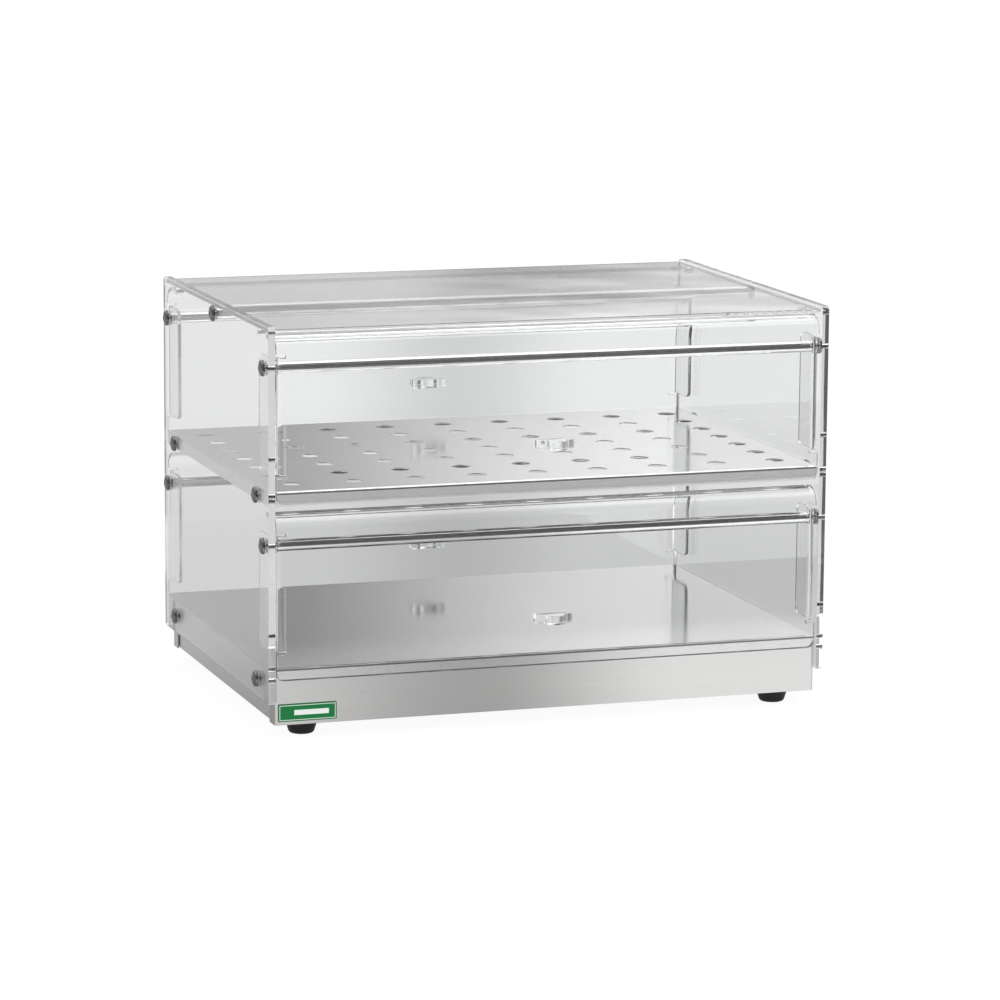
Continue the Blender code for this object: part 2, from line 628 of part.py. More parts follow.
# ---- heating ---------------------------------------------------------------
def make_heater():
    """A serpentine tube under the base's deck, and two straps that hold it."""
    height = BASE_TOP - STEEL - TOUCH - HEATER_RADIUS
    radius = HEATER_PITCH / 2
    reach = HEATER_RUN_X / 2 - radius
    first_y = -HEATER_PITCH * (HEATER_RUNS - 1) / 2
    route = [(-HEATER_RUN_X / 2, first_y)]
    for run in range(HEATER_RUNS - 1):
        side = 1 if run % 2 == 0 else -1
        middle = first_y + HEATER_PITCH * (run + 0.5)
        route += [(side * (reach + radius * math.cos(a)), middle + radius * math.sin(a))
                  for a in (math.radians(-90 + 180 * i / 8) for i in range(9))]
    route.append((-HEATER_RUN_X / 2, -first_y))
    curve = bpy.data.curves.new("heater_route", "CURVE")
    curve.dimensions = "3D"
    curve.bevel_depth = HEATER_RADIUS
    curve.bevel_resolution = 2
    curve.use_fill_caps = True
    spline = curve.splines.new("POLY")
    spline.points.add(len(route) - 1)
    for point, (x, y) in zip(spline.points, route):
        point.co = (x, y, height, 1)
    drawing = bpy.data.objects.new("heater_drawing", curve)
    CUTTERS.objects.link(drawing)
    mesh = fresh_mesh(drawing)
    bpy.data.objects.remove(drawing, do_unlink=True)
    add_object("heating_element", mesh, SHEATH)

    half = HEATER_PITCH * (HEATER_RUNS - 1) / 2 + HEATER_RADIUS * 3
    top = BASE_TOP - STEEL - TOUCH
    low = height - HEATER_RADIUS - TOUCH - BRACKET_THICKNESS
    strap = [(-half, top), (-half, low), (half, low), (half, top), (half - BRACKET_THICKNESS, top),
             (half - BRACKET_THICKNESS, low + BRACKET_THICKNESS),
             (-half + BRACKET_THICKNESS, low + BRACKET_THICKNESS), (-half + BRACKET_THICKNESS, top)]
    for name, side in SIDES.items():
        drawn_plate(f"heater_strap_{name}", strap, BRACKET_WIDTH, BRUSHED,
                    (side * BRACKET_X, 0, 0), STAND_YZ)


# ---- controls on the rear fascia -------------------------------------------
THERMOSTAT = {"hole": 0.0045, "spindle": 0.003, "body_x": 0.034, "body_y": 0.024,
              "body_z": 0.030, "spindle_out": 0.008, "knob_radius": 0.0125, "knob_depth": 0.014,
              "pointer": 0.0012}
SWITCH = {"hole_x": 0.0130, "hole_z": 0.0192, "bezel_x": 0.0150, "bezel_z": 0.0210,
          "bezel": 0.0018, "deep": 0.016, "wall": 0.0012, "rocker_radius": 0.0095, "tilt": 10}
LAMP = {"hole": 0.0045, "lens": 0.0055, "bulge": 0.004, "deep": 0.016, "body": 0.0040}
INLET = {"hole_x": 0.0275, "hole_z": 0.0205, "face_x": 0.0310, "face_z": 0.0245, "face": 0.0025,
         "deep": 0.024, "mouth_x": 0.0240, "mouth_z": 0.0165, "mouth_deep": 0.019,
         "pin_x": 0.002, "pin_z": 0.004, "pin_gap": 0.007, "pin_drop": 0.002, "pin_back": 0.006}


def make_thermostat():
    """Control body behind the fascia, and its knob on the spindle outside."""
    inside = STEEL_FACE - STEEL - TOUCH
    body = boxes("thermostat_body", [((THERMOSTAT["body_x"], THERMOSTAT["body_y"],
                                       THERMOSTAT["body_z"]), (0, 0, 0))], BLACK,
                 (THERMOSTAT_X, inside - THERMOSTAT["body_y"] / 2,
                  FOOT_HEIGHT + STEEL + MOVE_CLEAR + THERMOSTAT["body_z"] / 2))
    add_bevel(body, 0.001, 1)
    tip = STEEL_FACE + THERMOSTAT["spindle_out"]
    start = inside - THERMOSTAT["body_y"] / 2
    spindle = rods("spindle", THERMOSTAT["spindle"], tip - start,
                   [(THERMOSTAT_X, (tip + start) / 2, CONTROL_Z)], ALONG_Y)
    combine(body, spindle, "UNION")

    low = 0.0006
    radius = THERMOSTAT["knob_radius"]
    depth = THERMOSTAT["knob_depth"]
    socket = THERMOSTAT["spindle"] + MOVE_CLEAR
    socket_top = THERMOSTAT["spindle_out"] + MOVE_CLEAR
    profile = [(0, depth), (radius * 0.80, depth), (radius * 0.86, depth - 0.001),
               (radius * 0.90, low + 0.004), (radius, low + 0.003), (radius, low),
               (socket, low), (socket, socket_top), (0, socket_top)]
    knob = turned("thermostat_knob", profile, BLACK, sides=16)
    pointer = boxes("knob_pointer_groove", [((THERMOSTAT["pointer"], radius * 0.7,
                                              THERMOSTAT["pointer"]), (0, radius * 0.45, depth))])
    settle(combine(knob, pointer))
    knob.location = (THERMOSTAT_X, STEEL_FACE, CONTROL_Z)
    knob.rotation_euler = (-math.pi / 2, 0, 0)


def make_switch():
    """Rocker switch: a snapped-in housing and the rocker on its pivot."""
    face = STEEL_FACE + TOUCH
    bezel = SWITCH["bezel"]
    deep = SWITCH["deep"]
    neck = (SWITCH["hole_x"] - 2 * TOUCH, deep + TOUCH, SWITCH["hole_z"] - 2 * TOUCH)
    housing = boxes("switch_housing", [((SWITCH["bezel_x"], bezel, SWITCH["bezel_z"]),
                                        (0, bezel / 2, 0))], BLACK, (SWITCH_X, face, CONTROL_Z))
    combine(housing, boxes("switch_neck", [(neck, (0, (bezel - deep) / 2, 0))], None,
                           (SWITCH_X, face, CONTROL_Z)), "UNION")
    well = (neck[0] - 2 * SWITCH["wall"], 2 * SWITCH["rocker_radius"] * 1.06,
            neck[2] - 2 * SWITCH["wall"])
    combine(housing, boxes("switch_well", [(well, (0, bezel, 0))], None,
                           (SWITCH_X, face, CONTROL_Z)))

    half_z = well[2] / 2 - MOVE_CLEAR * 3
    half_x = well[0] / 2 - MOVE_CLEAR
    dish = 0.0011
    outline = [(-half_z, 0), (-half_z, bezel + 0.0014), (0, bezel + 0.0014 - dish),
               (half_z, bezel + 0.0014), (half_z, 0), (half_z * 0.4, -0.005), (-half_z * 0.4, -0.005)]
    rocker = drawn_plate("switch_rocker", [(-up, out) for up, out in outline], 2 * half_x, BLACK,
                         (SWITCH_X, face, CONTROL_Z), (0, math.pi / 2, 0))
    rocker.rotation_euler = (math.radians(-SWITCH["tilt"]), 0, 0)
    rocker.data.transform(Matrix.Rotation(math.pi / 2, 4, "Y"))


def make_lamp():
    """Pilot lamp: a domed lens with a stem through the fascia."""
    bulge = LAMP["bulge"]
    dome = [(LAMP["lens"] * math.sin(a), 0.001 + (bulge - 0.001) * math.cos(a))
            for a in (math.radians(22.5 * i) for i in range(5))]
    profile = [*dome, (LAMP["lens"], 0), (LAMP["body"], 0), (LAMP["body"], -LAMP["deep"]),
               (0, -LAMP["deep"])]
    turned("pilot_lamp", profile, AMBER, (LAMP_X, STEEL_FACE + TOUCH, CONTROL_Z),
           (-math.pi / 2, 0, 0), 20)


def make_inlet():
    """Appliance inlet with a recessed mouth and three flat pins."""
    place = (INLET_X, STEEL_FACE + TOUCH, CONTROL_Z)
    face = INLET["face"]
    deep = INLET["deep"]
    body_x = INLET["hole_x"] - 2 * TOUCH
    body_z = INLET["hole_z"] - 2 * TOUCH
    flange = boxes("power_inlet", [((INLET["face_x"], face, INLET["face_z"]), (0, face / 2, 0))],
                   BLACK, place)
    combine(flange, boxes("inlet_body", [((body_x, deep + face / 2, body_z),
                                          (0, (face / 2 - deep) / 2, 0))], None, place), "UNION")
    mouth_deep = INLET["mouth_deep"]
    combine(flange, boxes("inlet_mouth", [((INLET["mouth_x"], mouth_deep * 2, INLET["mouth_z"]),
                                           (0, face, 0))], None, place))
    bottom = face - mouth_deep
    length = mouth_deep - INLET["pin_back"]
    spots = ((-INLET["pin_gap"], -INLET["pin_drop"]), (0, INLET["pin_drop"]),
             (INLET["pin_gap"], -INLET["pin_drop"]))
    pins = [((INLET["pin_x"], length * 1.2, INLET["pin_z"]), (x, bottom + length * 0.4, z))
            for x, z in spots]
    combine(flange, boxes("inlet_pins", pins, None, place), "UNION")


make_side_panels()
make_top_panel()
make_pegs()
make_base()
make_shelf()
make_rods()
make_screws()
make_doors()
make_feet()
make_label()
make_heater()
make_thermostat()
make_switch()
make_lamp()
make_inlet()
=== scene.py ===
import json
import math

import bpy
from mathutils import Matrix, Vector


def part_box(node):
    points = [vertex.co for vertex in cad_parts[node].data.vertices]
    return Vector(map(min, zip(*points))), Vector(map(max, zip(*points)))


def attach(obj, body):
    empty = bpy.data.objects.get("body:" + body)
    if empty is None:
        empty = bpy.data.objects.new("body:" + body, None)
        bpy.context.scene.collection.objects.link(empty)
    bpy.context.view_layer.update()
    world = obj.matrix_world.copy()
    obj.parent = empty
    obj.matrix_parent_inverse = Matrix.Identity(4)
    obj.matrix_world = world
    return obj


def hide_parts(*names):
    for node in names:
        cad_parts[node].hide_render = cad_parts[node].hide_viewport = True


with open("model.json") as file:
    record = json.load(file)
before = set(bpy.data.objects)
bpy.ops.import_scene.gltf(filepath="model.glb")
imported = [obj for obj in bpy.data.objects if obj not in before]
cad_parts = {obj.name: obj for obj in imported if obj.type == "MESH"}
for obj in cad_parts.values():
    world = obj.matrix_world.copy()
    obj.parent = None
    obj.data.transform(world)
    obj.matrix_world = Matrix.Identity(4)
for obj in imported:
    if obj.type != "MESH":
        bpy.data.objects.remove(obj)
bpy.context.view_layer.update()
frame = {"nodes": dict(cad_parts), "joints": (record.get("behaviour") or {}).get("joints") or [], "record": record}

# Hot food display case: clear acrylic flaps and panels on a folded steel base.
# Metres, +Z up, front towards -Y, right as the customer sees it towards +X.

bodyOf = {node: body for body, nodes in frame["record"]["behaviour"]["bodies"].items()
          for node in nodes}
quarter = math.pi / 2
toDegrees = 180 / math.pi


cameraView = {
    "place": (-1.22235, -3.67503, 0.85229),
    "turn": (79.9128, -0.4235, -18.4834),    # degrees
    "lens": 159.868,
    "sensor": 36.0,
}


def makeCamera():
    bpy.ops.object.camera_add(location=cameraView["place"],
                              rotation=[math.radians(a) for a in cameraView["turn"]])
    camera = bpy.context.object
    camera.data.lens = cameraView["lens"]
    camera.data.sensor_width = cameraView["sensor"]
    camera.data.clip_end = 200
    bpy.context.scene.camera = camera


makeCamera()
print("camera ready")


class Wire:
    # a node's output that can be used in sums; each sum adds a Math node
    def __init__(self, finish, socket):
        self.finish = finish
        self.socket = socket

    def __add__(self, other):
        return self.finish.maths("ADD", self, other)

    __radd__ = __add__

    def __sub__(self, other):
        return self.finish.maths("SUBTRACT", self, other)

    def __rsub__(self, other):
        return self.finish.maths("SUBTRACT", other, self)

    def __mul__(self, other):
        return self.finish.maths("MULTIPLY", self, other)

    __rmul__ = __mul__

    def __abs__(self):
        return self.finish.maths("ABSOLUTE", self)


class Finish:
    # builds one node tree
    def __init__(self, tree):
        self.tree = tree
        tree.nodes.clear()

    def node(self, kind, settings=None, sockets=None, output=0):
        made = self.tree.nodes.new(kind)
        for key, value in (settings or {}).items():
            setattr(made, key, value)
        for key, value in (sockets or {}).items():
            if isinstance(value, Wire):
                self.tree.links.new(value.socket, made.inputs[key])
            else:
                made.inputs[key].default_value = value
        return Wire(self, made.outputs[output]) if len(made.outputs) else None

    def maths(self, operation, *values):
        return self.node("ShaderNodeMath", {"operation": operation}, dict(enumerate(values)))

    def place(self, centre=(0, 0, 0), stretch=(1, 1, 1)):
        # object coordinates, measured from a centre and stretched
        spot = self.node("ShaderNodeTexCoord", output="Object")
        spot = self.node("ShaderNodeVectorMath", {"operation": "SUBTRACT"}, {0: spot, 1: centre})
        return self.node("ShaderNodeVectorMath", {"operation": "MULTIPLY"}, {0: spot, 1: stretch})

    def axes(self, vector):
        split = self.node("ShaderNodeSeparateXYZ", sockets={0: vector})
        return [Wire(self, socket) for socket in split.socket.node.outputs]

    def noise(self, vector, scale, detail=3.0, roughness=0.5):
        return self.node("ShaderNodeTexNoise", None,
                         {"Vector": vector, "Scale": scale, "Detail": detail,
                          "Roughness": roughness}, "Fac")

    def ramp(self, value, low, high, start=0.0, end=1.0):
        # eases from start to end while the value goes from low to high
        return self.node("ShaderNodeMapRange", {"interpolation_type": "SMOOTHSTEP"},
                         {"Value": value, "From Min": low, "From Max": high,
                          "To Min": start, "To Max": end})

    def blend(self, amount, first, second):
        # two colours, mixed
        return self.node("ShaderNodeMix", {"data_type": "RGBA"},
                         {"Factor": amount, 6: first, 7: second}, 2)

    def scaled(self, colour, tone):
        return self.node("ShaderNodeVectorMath", {"operation": "SCALE"}, {0: colour, "Scale": tone})

    def bump(self, height, strength, distance):
        return self.node("ShaderNodeBump", None,
                         {"Height": height, "Strength": strength, "Distance": distance})

    def principled(self, **sockets):
        return self.node("ShaderNodeBsdfPrincipled", None,
                         {key.replace("_", " "): value for key, value in sockets.items()})

    def surface(self, shader):
        self.node("ShaderNodeOutputMaterial", None, {"Surface": shader})

    def opaque(self, **sockets):
        self.surface(self.principled(**sockets))


def newFinish(name):
    material = bpy.data.materials.new(name)
    material.use_nodes = True
    return material, Finish(material.node_tree)


def grey(value):
    return (value, value, value, 1)


skyForm = {
    "rearLeft": 0.40,         # what polished metal sees behind the case, on the left
    "rearRight": 1.30,        # and on the right, where the big soft box stands
    "boxEdge": (15.0, 20.6),  # bearings of its edge, in degrees from straight back
    "rimLeft": 0.50,          # the same, close above the horizon
    "rimMiddle": 0.22,
    "rimRight": 0.52,
    "rimFalls": (17.0, 18.6),
    "rimGrows": (19.2, 21.6),
    "rimTop": (6.8, 8.8),
    "rearHigh": 1.35,         # higher behind the case
    "rearRise": (14, 26),
    "rearSides": (75, 110),
    "front": 0.30,
    "darkFront": 0.09,        # unlit part of the room, beside the viewer
    "darkBearing": 158,
    "darkEdge": (16, 24),
    "above": 1.15,
    "aboveRise": (54, 70),
    "through": 0.86,          # the backdrop, seen through the clear sheets
}


def byPath(tree, mirrored, through, straight):
    # brightness for rays that metal or gloss has turned, for rays that only came through
    # clear sheets, and for all others; a ray that left a matt face counts with the others
    turned = tree.ramp(tree.node("ShaderNodeLightPath", output="Glossy Depth"), 0.25, 0.75)
    matt = tree.ramp(tree.node("ShaderNodeLightPath", output="Diffuse Depth"), 0.25, 0.75)
    passed = tree.node("ShaderNodeLightPath", output="Is Transmission Ray") * (1 - turned)
    passed = passed * (1 - matt)
    return turned * mirrored + passed * through + (1 - turned) * (1 - passed) * straight


def makeWorld():
    world = bpy.data.worlds.new("studio")
    bpy.context.scene.world = world
    world.use_nodes = True
    sky = Finish(world.node_tree)
    form = skyForm
    right, back, up = sky.axes(sky.node("ShaderNodeTexCoord", output="Generated"))
    bearing = sky.maths("ARCTAN2", right, back) * toDegrees
    height = sky.maths("ARCSINE", up) * toDegrees
    box = sky.ramp(bearing, *form["boxEdge"], form["rearLeft"], form["rearRight"])
    rim = (sky.ramp(bearing, *form["rimFalls"], form["rimLeft"], form["rimMiddle"])
           + sky.ramp(bearing, *form["rimGrows"], 0, form["rimRight"] - form["rimMiddle"]))
    clear = sky.ramp(height, *form["rimTop"])
    low = rim * (1 - clear) + box * clear
    high = sky.ramp(height, *form["rearRise"])
    behind = low * (1 - high) + high * form["rearHigh"]
    rear = sky.ramp(abs(bearing), *form["rearSides"], 1, 0)
    dark = sky.ramp(abs(bearing - form["darkBearing"]), *form["darkEdge"], 1, 0)
    front = form["front"] + dark * (form["darkFront"] - form["front"])
    around = rear * behind + (1 - rear) * front
    above = sky.ramp(height, *form["aboveRise"])
    mirrored = around * (1 - above) + above * form["above"]
    glow = sky.node("ShaderNodeBackground", None, {
        "Color": grey(1), "Strength": byPath(sky, mirrored, form["through"], 1.0)})
    sky.node("ShaderNodeOutputWorld", None, {"Surface": glow})


floorForm = {
    "size": 120,
    "below": 0.0004,          # just under the feet
    "white": 1.03,
    "shade": 0.10,            # share of the floor that takes soft shadows
    "slant": 0.326,           # how far the light patches lean to the side for each metre back
    "tableLeft": 1.14,        # what polished metal sees of the table before the case
    "tableMiddle": 0.71,
    "tableRight": 1.52,
    "leftFalls": (-0.32, -0.13),
    "rightGrows": (-0.12, 0.08),
    "tableEdge": (-0.57, -0.45),
    "beyondEdge": 0.05,
    "beside": 0.40,           # and beside and behind the case
    "behind": 0.60,
    "besideFrom": (-0.22, -0.12),
    "behindFrom": (-0.10, 0.35),
    "darkCorner": 0.02,       # unlit part of the room, right behind
    "cornerSlant": 0.40,
    "cornerSide": (0.155, 0.175),
    "cornerBack": (0.2, 0.4),
    "throughNear": 0.56,      # painted shadow of the case: the floor seen through the clear sheets, greyer close to the case
    "nearToFar": (0.6, 1.7),
    "streakSpot": -0.0311,    # soft grey streak of the backdrop, where it passes under the case
    "streakSlant": 0.3241,    # its lean to the side for each metre back
    "streakHalf": 0.1347,     # half its width there, and how fast that grows
    "streakSpread": 0.0366,
    "streakLeast": 0.01,
    "streakDepth": 0.26,
}


def makeFloor():
    form = floorForm
    bpy.ops.mesh.primitive_plane_add(size=form["size"], location=(0, 0, -form["below"]))
    floor = bpy.context.object
    floor.name = "floor"
    material, top = newFinish("paleFloor")
    across, along = top.axes(top.place())[:2]
    skewed = across + along * form["slant"]
    table = (top.ramp(skewed, *form["leftFalls"], form["tableLeft"], form["tableMiddle"])
             + top.ramp(skewed, *form["rightGrows"], 0, form["tableRight"] - form["tableMiddle"]))
    corner = (top.ramp(across - along * form["cornerSlant"], *form["cornerSide"])
              * top.ramp(along, *form["cornerBack"]))
    behind = top.ramp(along, *form["behindFrom"], form["beside"], form["behind"])
    behind = behind * (1 - corner) + corner * form["darkCorner"]
    beside = top.ramp(along, *form["besideFrom"])
    table = table * (1 - beside) + behind * beside
    lit = top.ramp(along, *form["tableEdge"])
    mirrored = table * lit + (1 - lit) * form["beyondEdge"]
    away = top.maths("SQRT", across * across + along * along)
    streak = abs(across - along * form["streakSlant"] - form["streakSpot"])
    half = top.maths("MAXIMUM", along * form["streakSpread"] + form["streakHalf"],
                     form["streakLeast"])
    # rays through the clear sheets see the floor greyer close to the case, a painted shadow of the case, and
    # crossed by a soft grey streak
    through = (top.ramp(away, *form["nearToFar"], form["throughNear"], skyForm["through"])
               * top.ramp(top.maths("DIVIDE", streak, half), 0, 1, 1 - form["streakDepth"], 1))
    level = byPath(top, mirrored, through, form["white"] - form["shade"])
    glow = top.node("ShaderNodeEmission", None, {"Color": grey(1), "Strength": level})
    paint = top.node("ShaderNodeBsdfDiffuse", None, {"Color": grey(form["shade"])})
    top.surface(top.node("ShaderNodeAddShader", None, {0: glow, 1: paint}))
    material.cycles.emission_sampling = "NONE"
    floor.data.materials.append(material)


softBoxForm = {"power": 9.0, "size": 1.6, "place": (0.7, -0.2, 2.2), "aim": (0, 0, 0.2)}


def makeSoftBox():
    # overhead soft box, aimed at the case
    bpy.ops.object.light_add(type="AREA", location=softBoxForm["place"])
    lamp = bpy.context.object
    lamp.data.shape = "SQUARE"
    lamp.data.size = softBoxForm["size"]
    lamp.data.energy = softBoxForm["power"]
    towards = Vector(softBoxForm["aim"]) - Vector(softBoxForm["place"])
    lamp.rotation_euler = towards.to_track_quat("-Z", "Y").to_euler()
    lamp.visible_camera = False


def setPicture():
    scene = bpy.context.scene
    scene.view_settings.view_transform = "Standard"
    scene.cycles.max_bounces = 48
    scene.cycles.transmission_bounces = 24
    scene.cycles.glossy_bounces = 40
    scene.cycles.diffuse_bounces = 4
    scene.cycles.transparent_max_bounces = 24


makeWorld()
makeFloor()
makeSoftBox()
setPicture()
print("room ready")


acrylicForm = {"tint": (0.985, 0.992, 0.990, 1), "polish": 0.004, "smear": 0.022,
               "smearSize": 26, "waveSize": 9, "wave": 0.002, "shadow": (0.93, 0.94, 0.94, 1)}


def clearAcrylic():
    # cast acrylic: water clear, polished edges, faint smears and a slight wave in the sheet
    material, sheet = newFinish("clearAcrylic")
    form = acrylicForm
    smears = sheet.noise(sheet.place(stretch=(1, 1, 0.6)), form["smearSize"], 4, 0.6)
    smears = sheet.ramp(smears, 0.52, 0.78)
    wave = sheet.bump(sheet.noise(sheet.place(), form["waveSize"], 1), 0.05, form["wave"])
    body = sheet.principled(
        Base_Color=form["tint"], Roughness=smears * form["smear"] + form["polish"],
        IOR=1.49, Transmission_Weight=1.0, Normal=wave)
    # shadows of the clear sheets stay pale
    clear = sheet.node("ShaderNodeBsdfTransparent", None, {"Color": form["shadow"]})
    lamps = sheet.node("ShaderNodeLightPath", output="Is Shadow Ray")
    sheet.surface(sheet.node("ShaderNodeMixShader", None, {0: lamps, 1: body, 2: clear}))
    return material


steelForm = {
    "shelf": {"colour": (0.805, 0.805, 0.800), "rough": 0.15, "streak": 0.05, "grain": 0.08},
    # painted light: the shelf's turned-down walls are the same sheet as the shelf, given a paler colour and a matt
    # share (metal below 1) so that they look lighter
    "flange": {"colour": (0.900, 0.900, 0.895), "rough": 0.63, "streak": 0.05, "grain": 0.08,
               "spread": 0.9, "metal": 0.45},
    "deck": {"colour": (0.455, 0.455, 0.450), "rough": 0.11, "streak": 0.06, "grain": 0.05},
    "inside": {"colour": (0.600, 0.600, 0.595), "rough": 0.36, "streak": 0.05, "grain": 0.08},
}


def brushedSteel(name, form, dial=None):
    # stainless sheet with its grain along X, duller where it has been wiped; on upright
    # flanges the grain spreads reflections up and down
    material, metal = newFinish(name)
    fine = metal.noise(metal.place(stretch=(9, 1300, 1300)), 1.0, 2)
    coarse = metal.noise(metal.place(stretch=(3, 260, 260)), 1.0, 2)
    cloud = metal.noise(metal.place(), 7, 3)
    grain = fine * 0.6 + coarse * 0.4
    tone = (grain - 0.5) * form["streak"] * 2 + (cloud - 0.5) * 0.03 + 1
    colour = metal.scaled(form["colour"], tone)
    rough = (grain - 0.5) * form["grain"] + (cloud - 0.5) * 0.06 + form["rough"]
    # a form may take some of the metal away, leaving a matt share that catches light; on the shelf's walls this is
    # painted light
    metallic = form.get("metal", 1.0)
    if dial:
        ink = dialMarks(metal, dial)
        colour = metal.blend(ink, colour, (0.02, 0.02, 0.02, 1))
        rough = rough * (1 - ink) + ink * 0.5
        metallic = (1 - ink) * metallic
    relief = metal.bump(grain, 0.06, 0.00012)
    metal.opaque(
        Base_Color=colour, Metallic=metallic, Roughness=rough, Normal=relief,
        Anisotropic=form.get("spread", 0.0), Anisotropic_Rotation=0.25)
    return material


def dialMarks(metal, dial):
    # printed ring of ticks round the thermostat knob, open at the bottom
    across, along, up = metal.axes(metal.place(dial["centre"]))
    radius = metal.maths("SQRT", across * across + up * up)
    turn = metal.maths("ARCTAN2", across, up) * toDegrees
    aside = abs(metal.maths("PINGPONG", turn + 360, dial["step"] / 2))
    aside = radius * aside * (1 / toDegrees)
    tick = metal.ramp(aside, dial["tick"] * 0.4, dial["tick"] * 0.6, 1, 0)
    band = (metal.ramp(radius, dial["from"] - 0.0001, dial["from"])
            * metal.ramp(radius, dial["to"], dial["to"] + 0.0001, 1, 0))
    swept = metal.ramp(abs(turn), dial["half"] - 1, dial["half"] + 1, 1, 0)
    rear = metal.ramp(along, -0.0004, -0.0002)
    return tick * band * swept * rear


def brightSteel(name, colour, rough, rings=0.0):
    # turned or drawn bright bar, with faint lines round it
    material, metal = newFinish(name)
    lines = metal.noise(metal.place(stretch=(1400, 30, 30)), 1.0, 2)
    cloud = metal.noise(metal.place(), 45, 3)
    tone = (lines - 0.5) * 0.05 + (cloud - 0.5) * 0.05 + 1
    shade = metal.scaled(colour, tone)
    worn = (cloud - 0.5) * 0.08 + (lines - 0.5) * 0.05 + rough
    relief = metal.bump(lines, 0.04 + rings, 0.0001)
    metal.opaque(Base_Color=shade, Metallic=1.0, Roughness=worn, Normal=relief)
    return material


def blackRubber():
    material, foot = newFinish("blackRubber")
    specks = foot.noise(foot.place(), 1600, 3, 0.6)
    dust = foot.ramp(foot.noise(foot.place(), 140, 3), 0.45, 0.8)
    colour = foot.blend(dust * 0.4, (0.006, 0.006, 0.007, 1), (0.030, 0.029, 0.028, 1))
    foot.opaque(Base_Color=colour, Roughness=dust * 0.15 + 0.50, IOR=1.33,
                Normal=foot.bump(specks, 0.25, 0.0002))
    return material


def blackPlastic(name="blackPlastic", marks=None):
    # moulded plastic with a fine spark grain; marks are pale inlays
    material, case = newFinish(name)
    grain = case.noise(case.place(), 2600, 2, 0.7)
    cloud = case.noise(case.place(), 60, 2)
    colour = case.blend(cloud, (0.016, 0.016, 0.017, 1), (0.026, 0.026, 0.027, 1))
    rough = grain * 0.16 + 0.32
    if marks:
        paint = marks(case)
        colour = case.blend(paint, colour, (0.82, 0.82, 0.80, 1))
        rough = rough * (1 - paint) + paint * 0.5
    case.opaque(Base_Color=colour, Roughness=rough, Normal=case.bump(grain, 0.18, 0.00012))
    return material


labelForm = {"border": 0.0011, "line": 0.0004, "barWide": 0.030, "barHigh": 0.0042,
             "barShift": 0.0035, "arris": 0.00012, "corner": 0.0008, "blur": 0.0001}


def greenLabel(low, high):
    # enamelled plate: green ground, thin pale border and a plain pale bar
    form = labelForm
    material, plate = newFinish("greenLabel")
    centre = (low + high) / 2
    half = (high - low) / 2
    across, _, up = plate.axes(plate.place(centre))
    edge = plate.maths("MINIMUM", half.x - abs(across), half.z - abs(up))
    inner = form["border"] + form["line"]
    blur = form["blur"]
    border = (plate.ramp(edge, form["border"] - blur, form["border"])
              * plate.ramp(edge, inner, inner + blur, 1, 0))
    side = abs(across - form["barShift"])
    halfWide, halfHigh = form["barWide"] / 2, form["barHigh"] / 2
    bar = (plate.ramp(side, halfWide, halfWide + 2 * blur, 1, 0)
           * plate.ramp(abs(up), halfHigh, halfHigh + 2 * blur, 1, 0))
    pale = plate.maths("MAXIMUM", border, bar)
    ink = plate.noise(plate.place(), 900, 2)
    green = plate.blend(ink, (0.000, 0.150, 0.036, 1), (0.001, 0.185, 0.046, 1))
    colour = plate.blend(pale, green, (0.80, 0.83, 0.80, 1))
    plate.opaque(Base_Color=colour, Roughness=ink * 0.12 + 0.28, IOR=1.33,
                 Normal=plate.bump(ink + pale, 0.15, 0.0001))
    return material


def amberLens(centre):
    # ribbed amber lens over a small lamp
    material, lens = newFinish("amberLens")
    across, _, up = lens.axes(lens.place(centre))
    turn = lens.maths("ARCTAN2", across, up)
    ribs = lens.maths("SINE", turn * 24) * 0.5 + 0.5
    radius = lens.maths("SQRT", across * across + up * up)
    # paler orange in the middle, deeper orange towards the rim
    towardsRim = lens.ramp(radius, 0.0, 0.0050)
    colour = lens.blend(towardsRim, (1.0, 0.42, 0.05, 1), (0.72, 0.19, 0.01, 1))
    rough = lens.noise(lens.place(), 500, 2) * 0.10 + 0.10
    lens.opaque(Base_Color=colour, Roughness=rough, IOR=1.49,
                Coat_Weight=0.4, Normal=lens.bump(ribs, 0.4, 0.0003))
    return material


def heaterSheath():
    # oxidised metal sheath of the element, straw to brown where it runs hottest
    material, tube = newFinish("heaterSheath")
    heat = tube.ramp(tube.noise(tube.place(), 24, 4), 0.35, 0.7)
    soot = tube.ramp(tube.noise(tube.place(), 320, 4), 0.5, 0.8)
    colour = tube.blend(heat, (0.34, 0.32, 0.29, 1), (0.20, 0.13, 0.08, 1))
    colour = tube.blend(soot * 0.6, colour, (0.05, 0.045, 0.04, 1))
    tube.opaque(Base_Color=colour, Metallic=0.8, Roughness=soot * 0.2 + 0.42,
                Normal=tube.bump(soot, 0.2, 0.0002))
    return material


def zincPlate():
    material, zinc = newFinish("zincPlate")
    spangle = zinc.noise(zinc.place(), 420, 3)
    tint = zinc.noise(zinc.place(), 90, 2)
    colour = zinc.blend(tint, (0.50, 0.50, 0.48, 1), (0.62, 0.60, 0.52, 1))
    zinc.opaque(Base_Color=colour, Metallic=1.0, Roughness=spangle * 0.25 + 0.25,
                Normal=zinc.bump(spangle, 0.1, 0.0001))
    return material


thermoCentre = (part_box("thermostat_knob")[0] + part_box("thermostat_knob")[1]) / 2
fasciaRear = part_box("base_cover")[1].y
dialForm = {"centre": (thermoCentre.x, fasciaRear, thermoCentre.z), "step": 27.0,
            "tick": 0.0007, "from": 0.0142, "to": 0.0172, "half": 138}

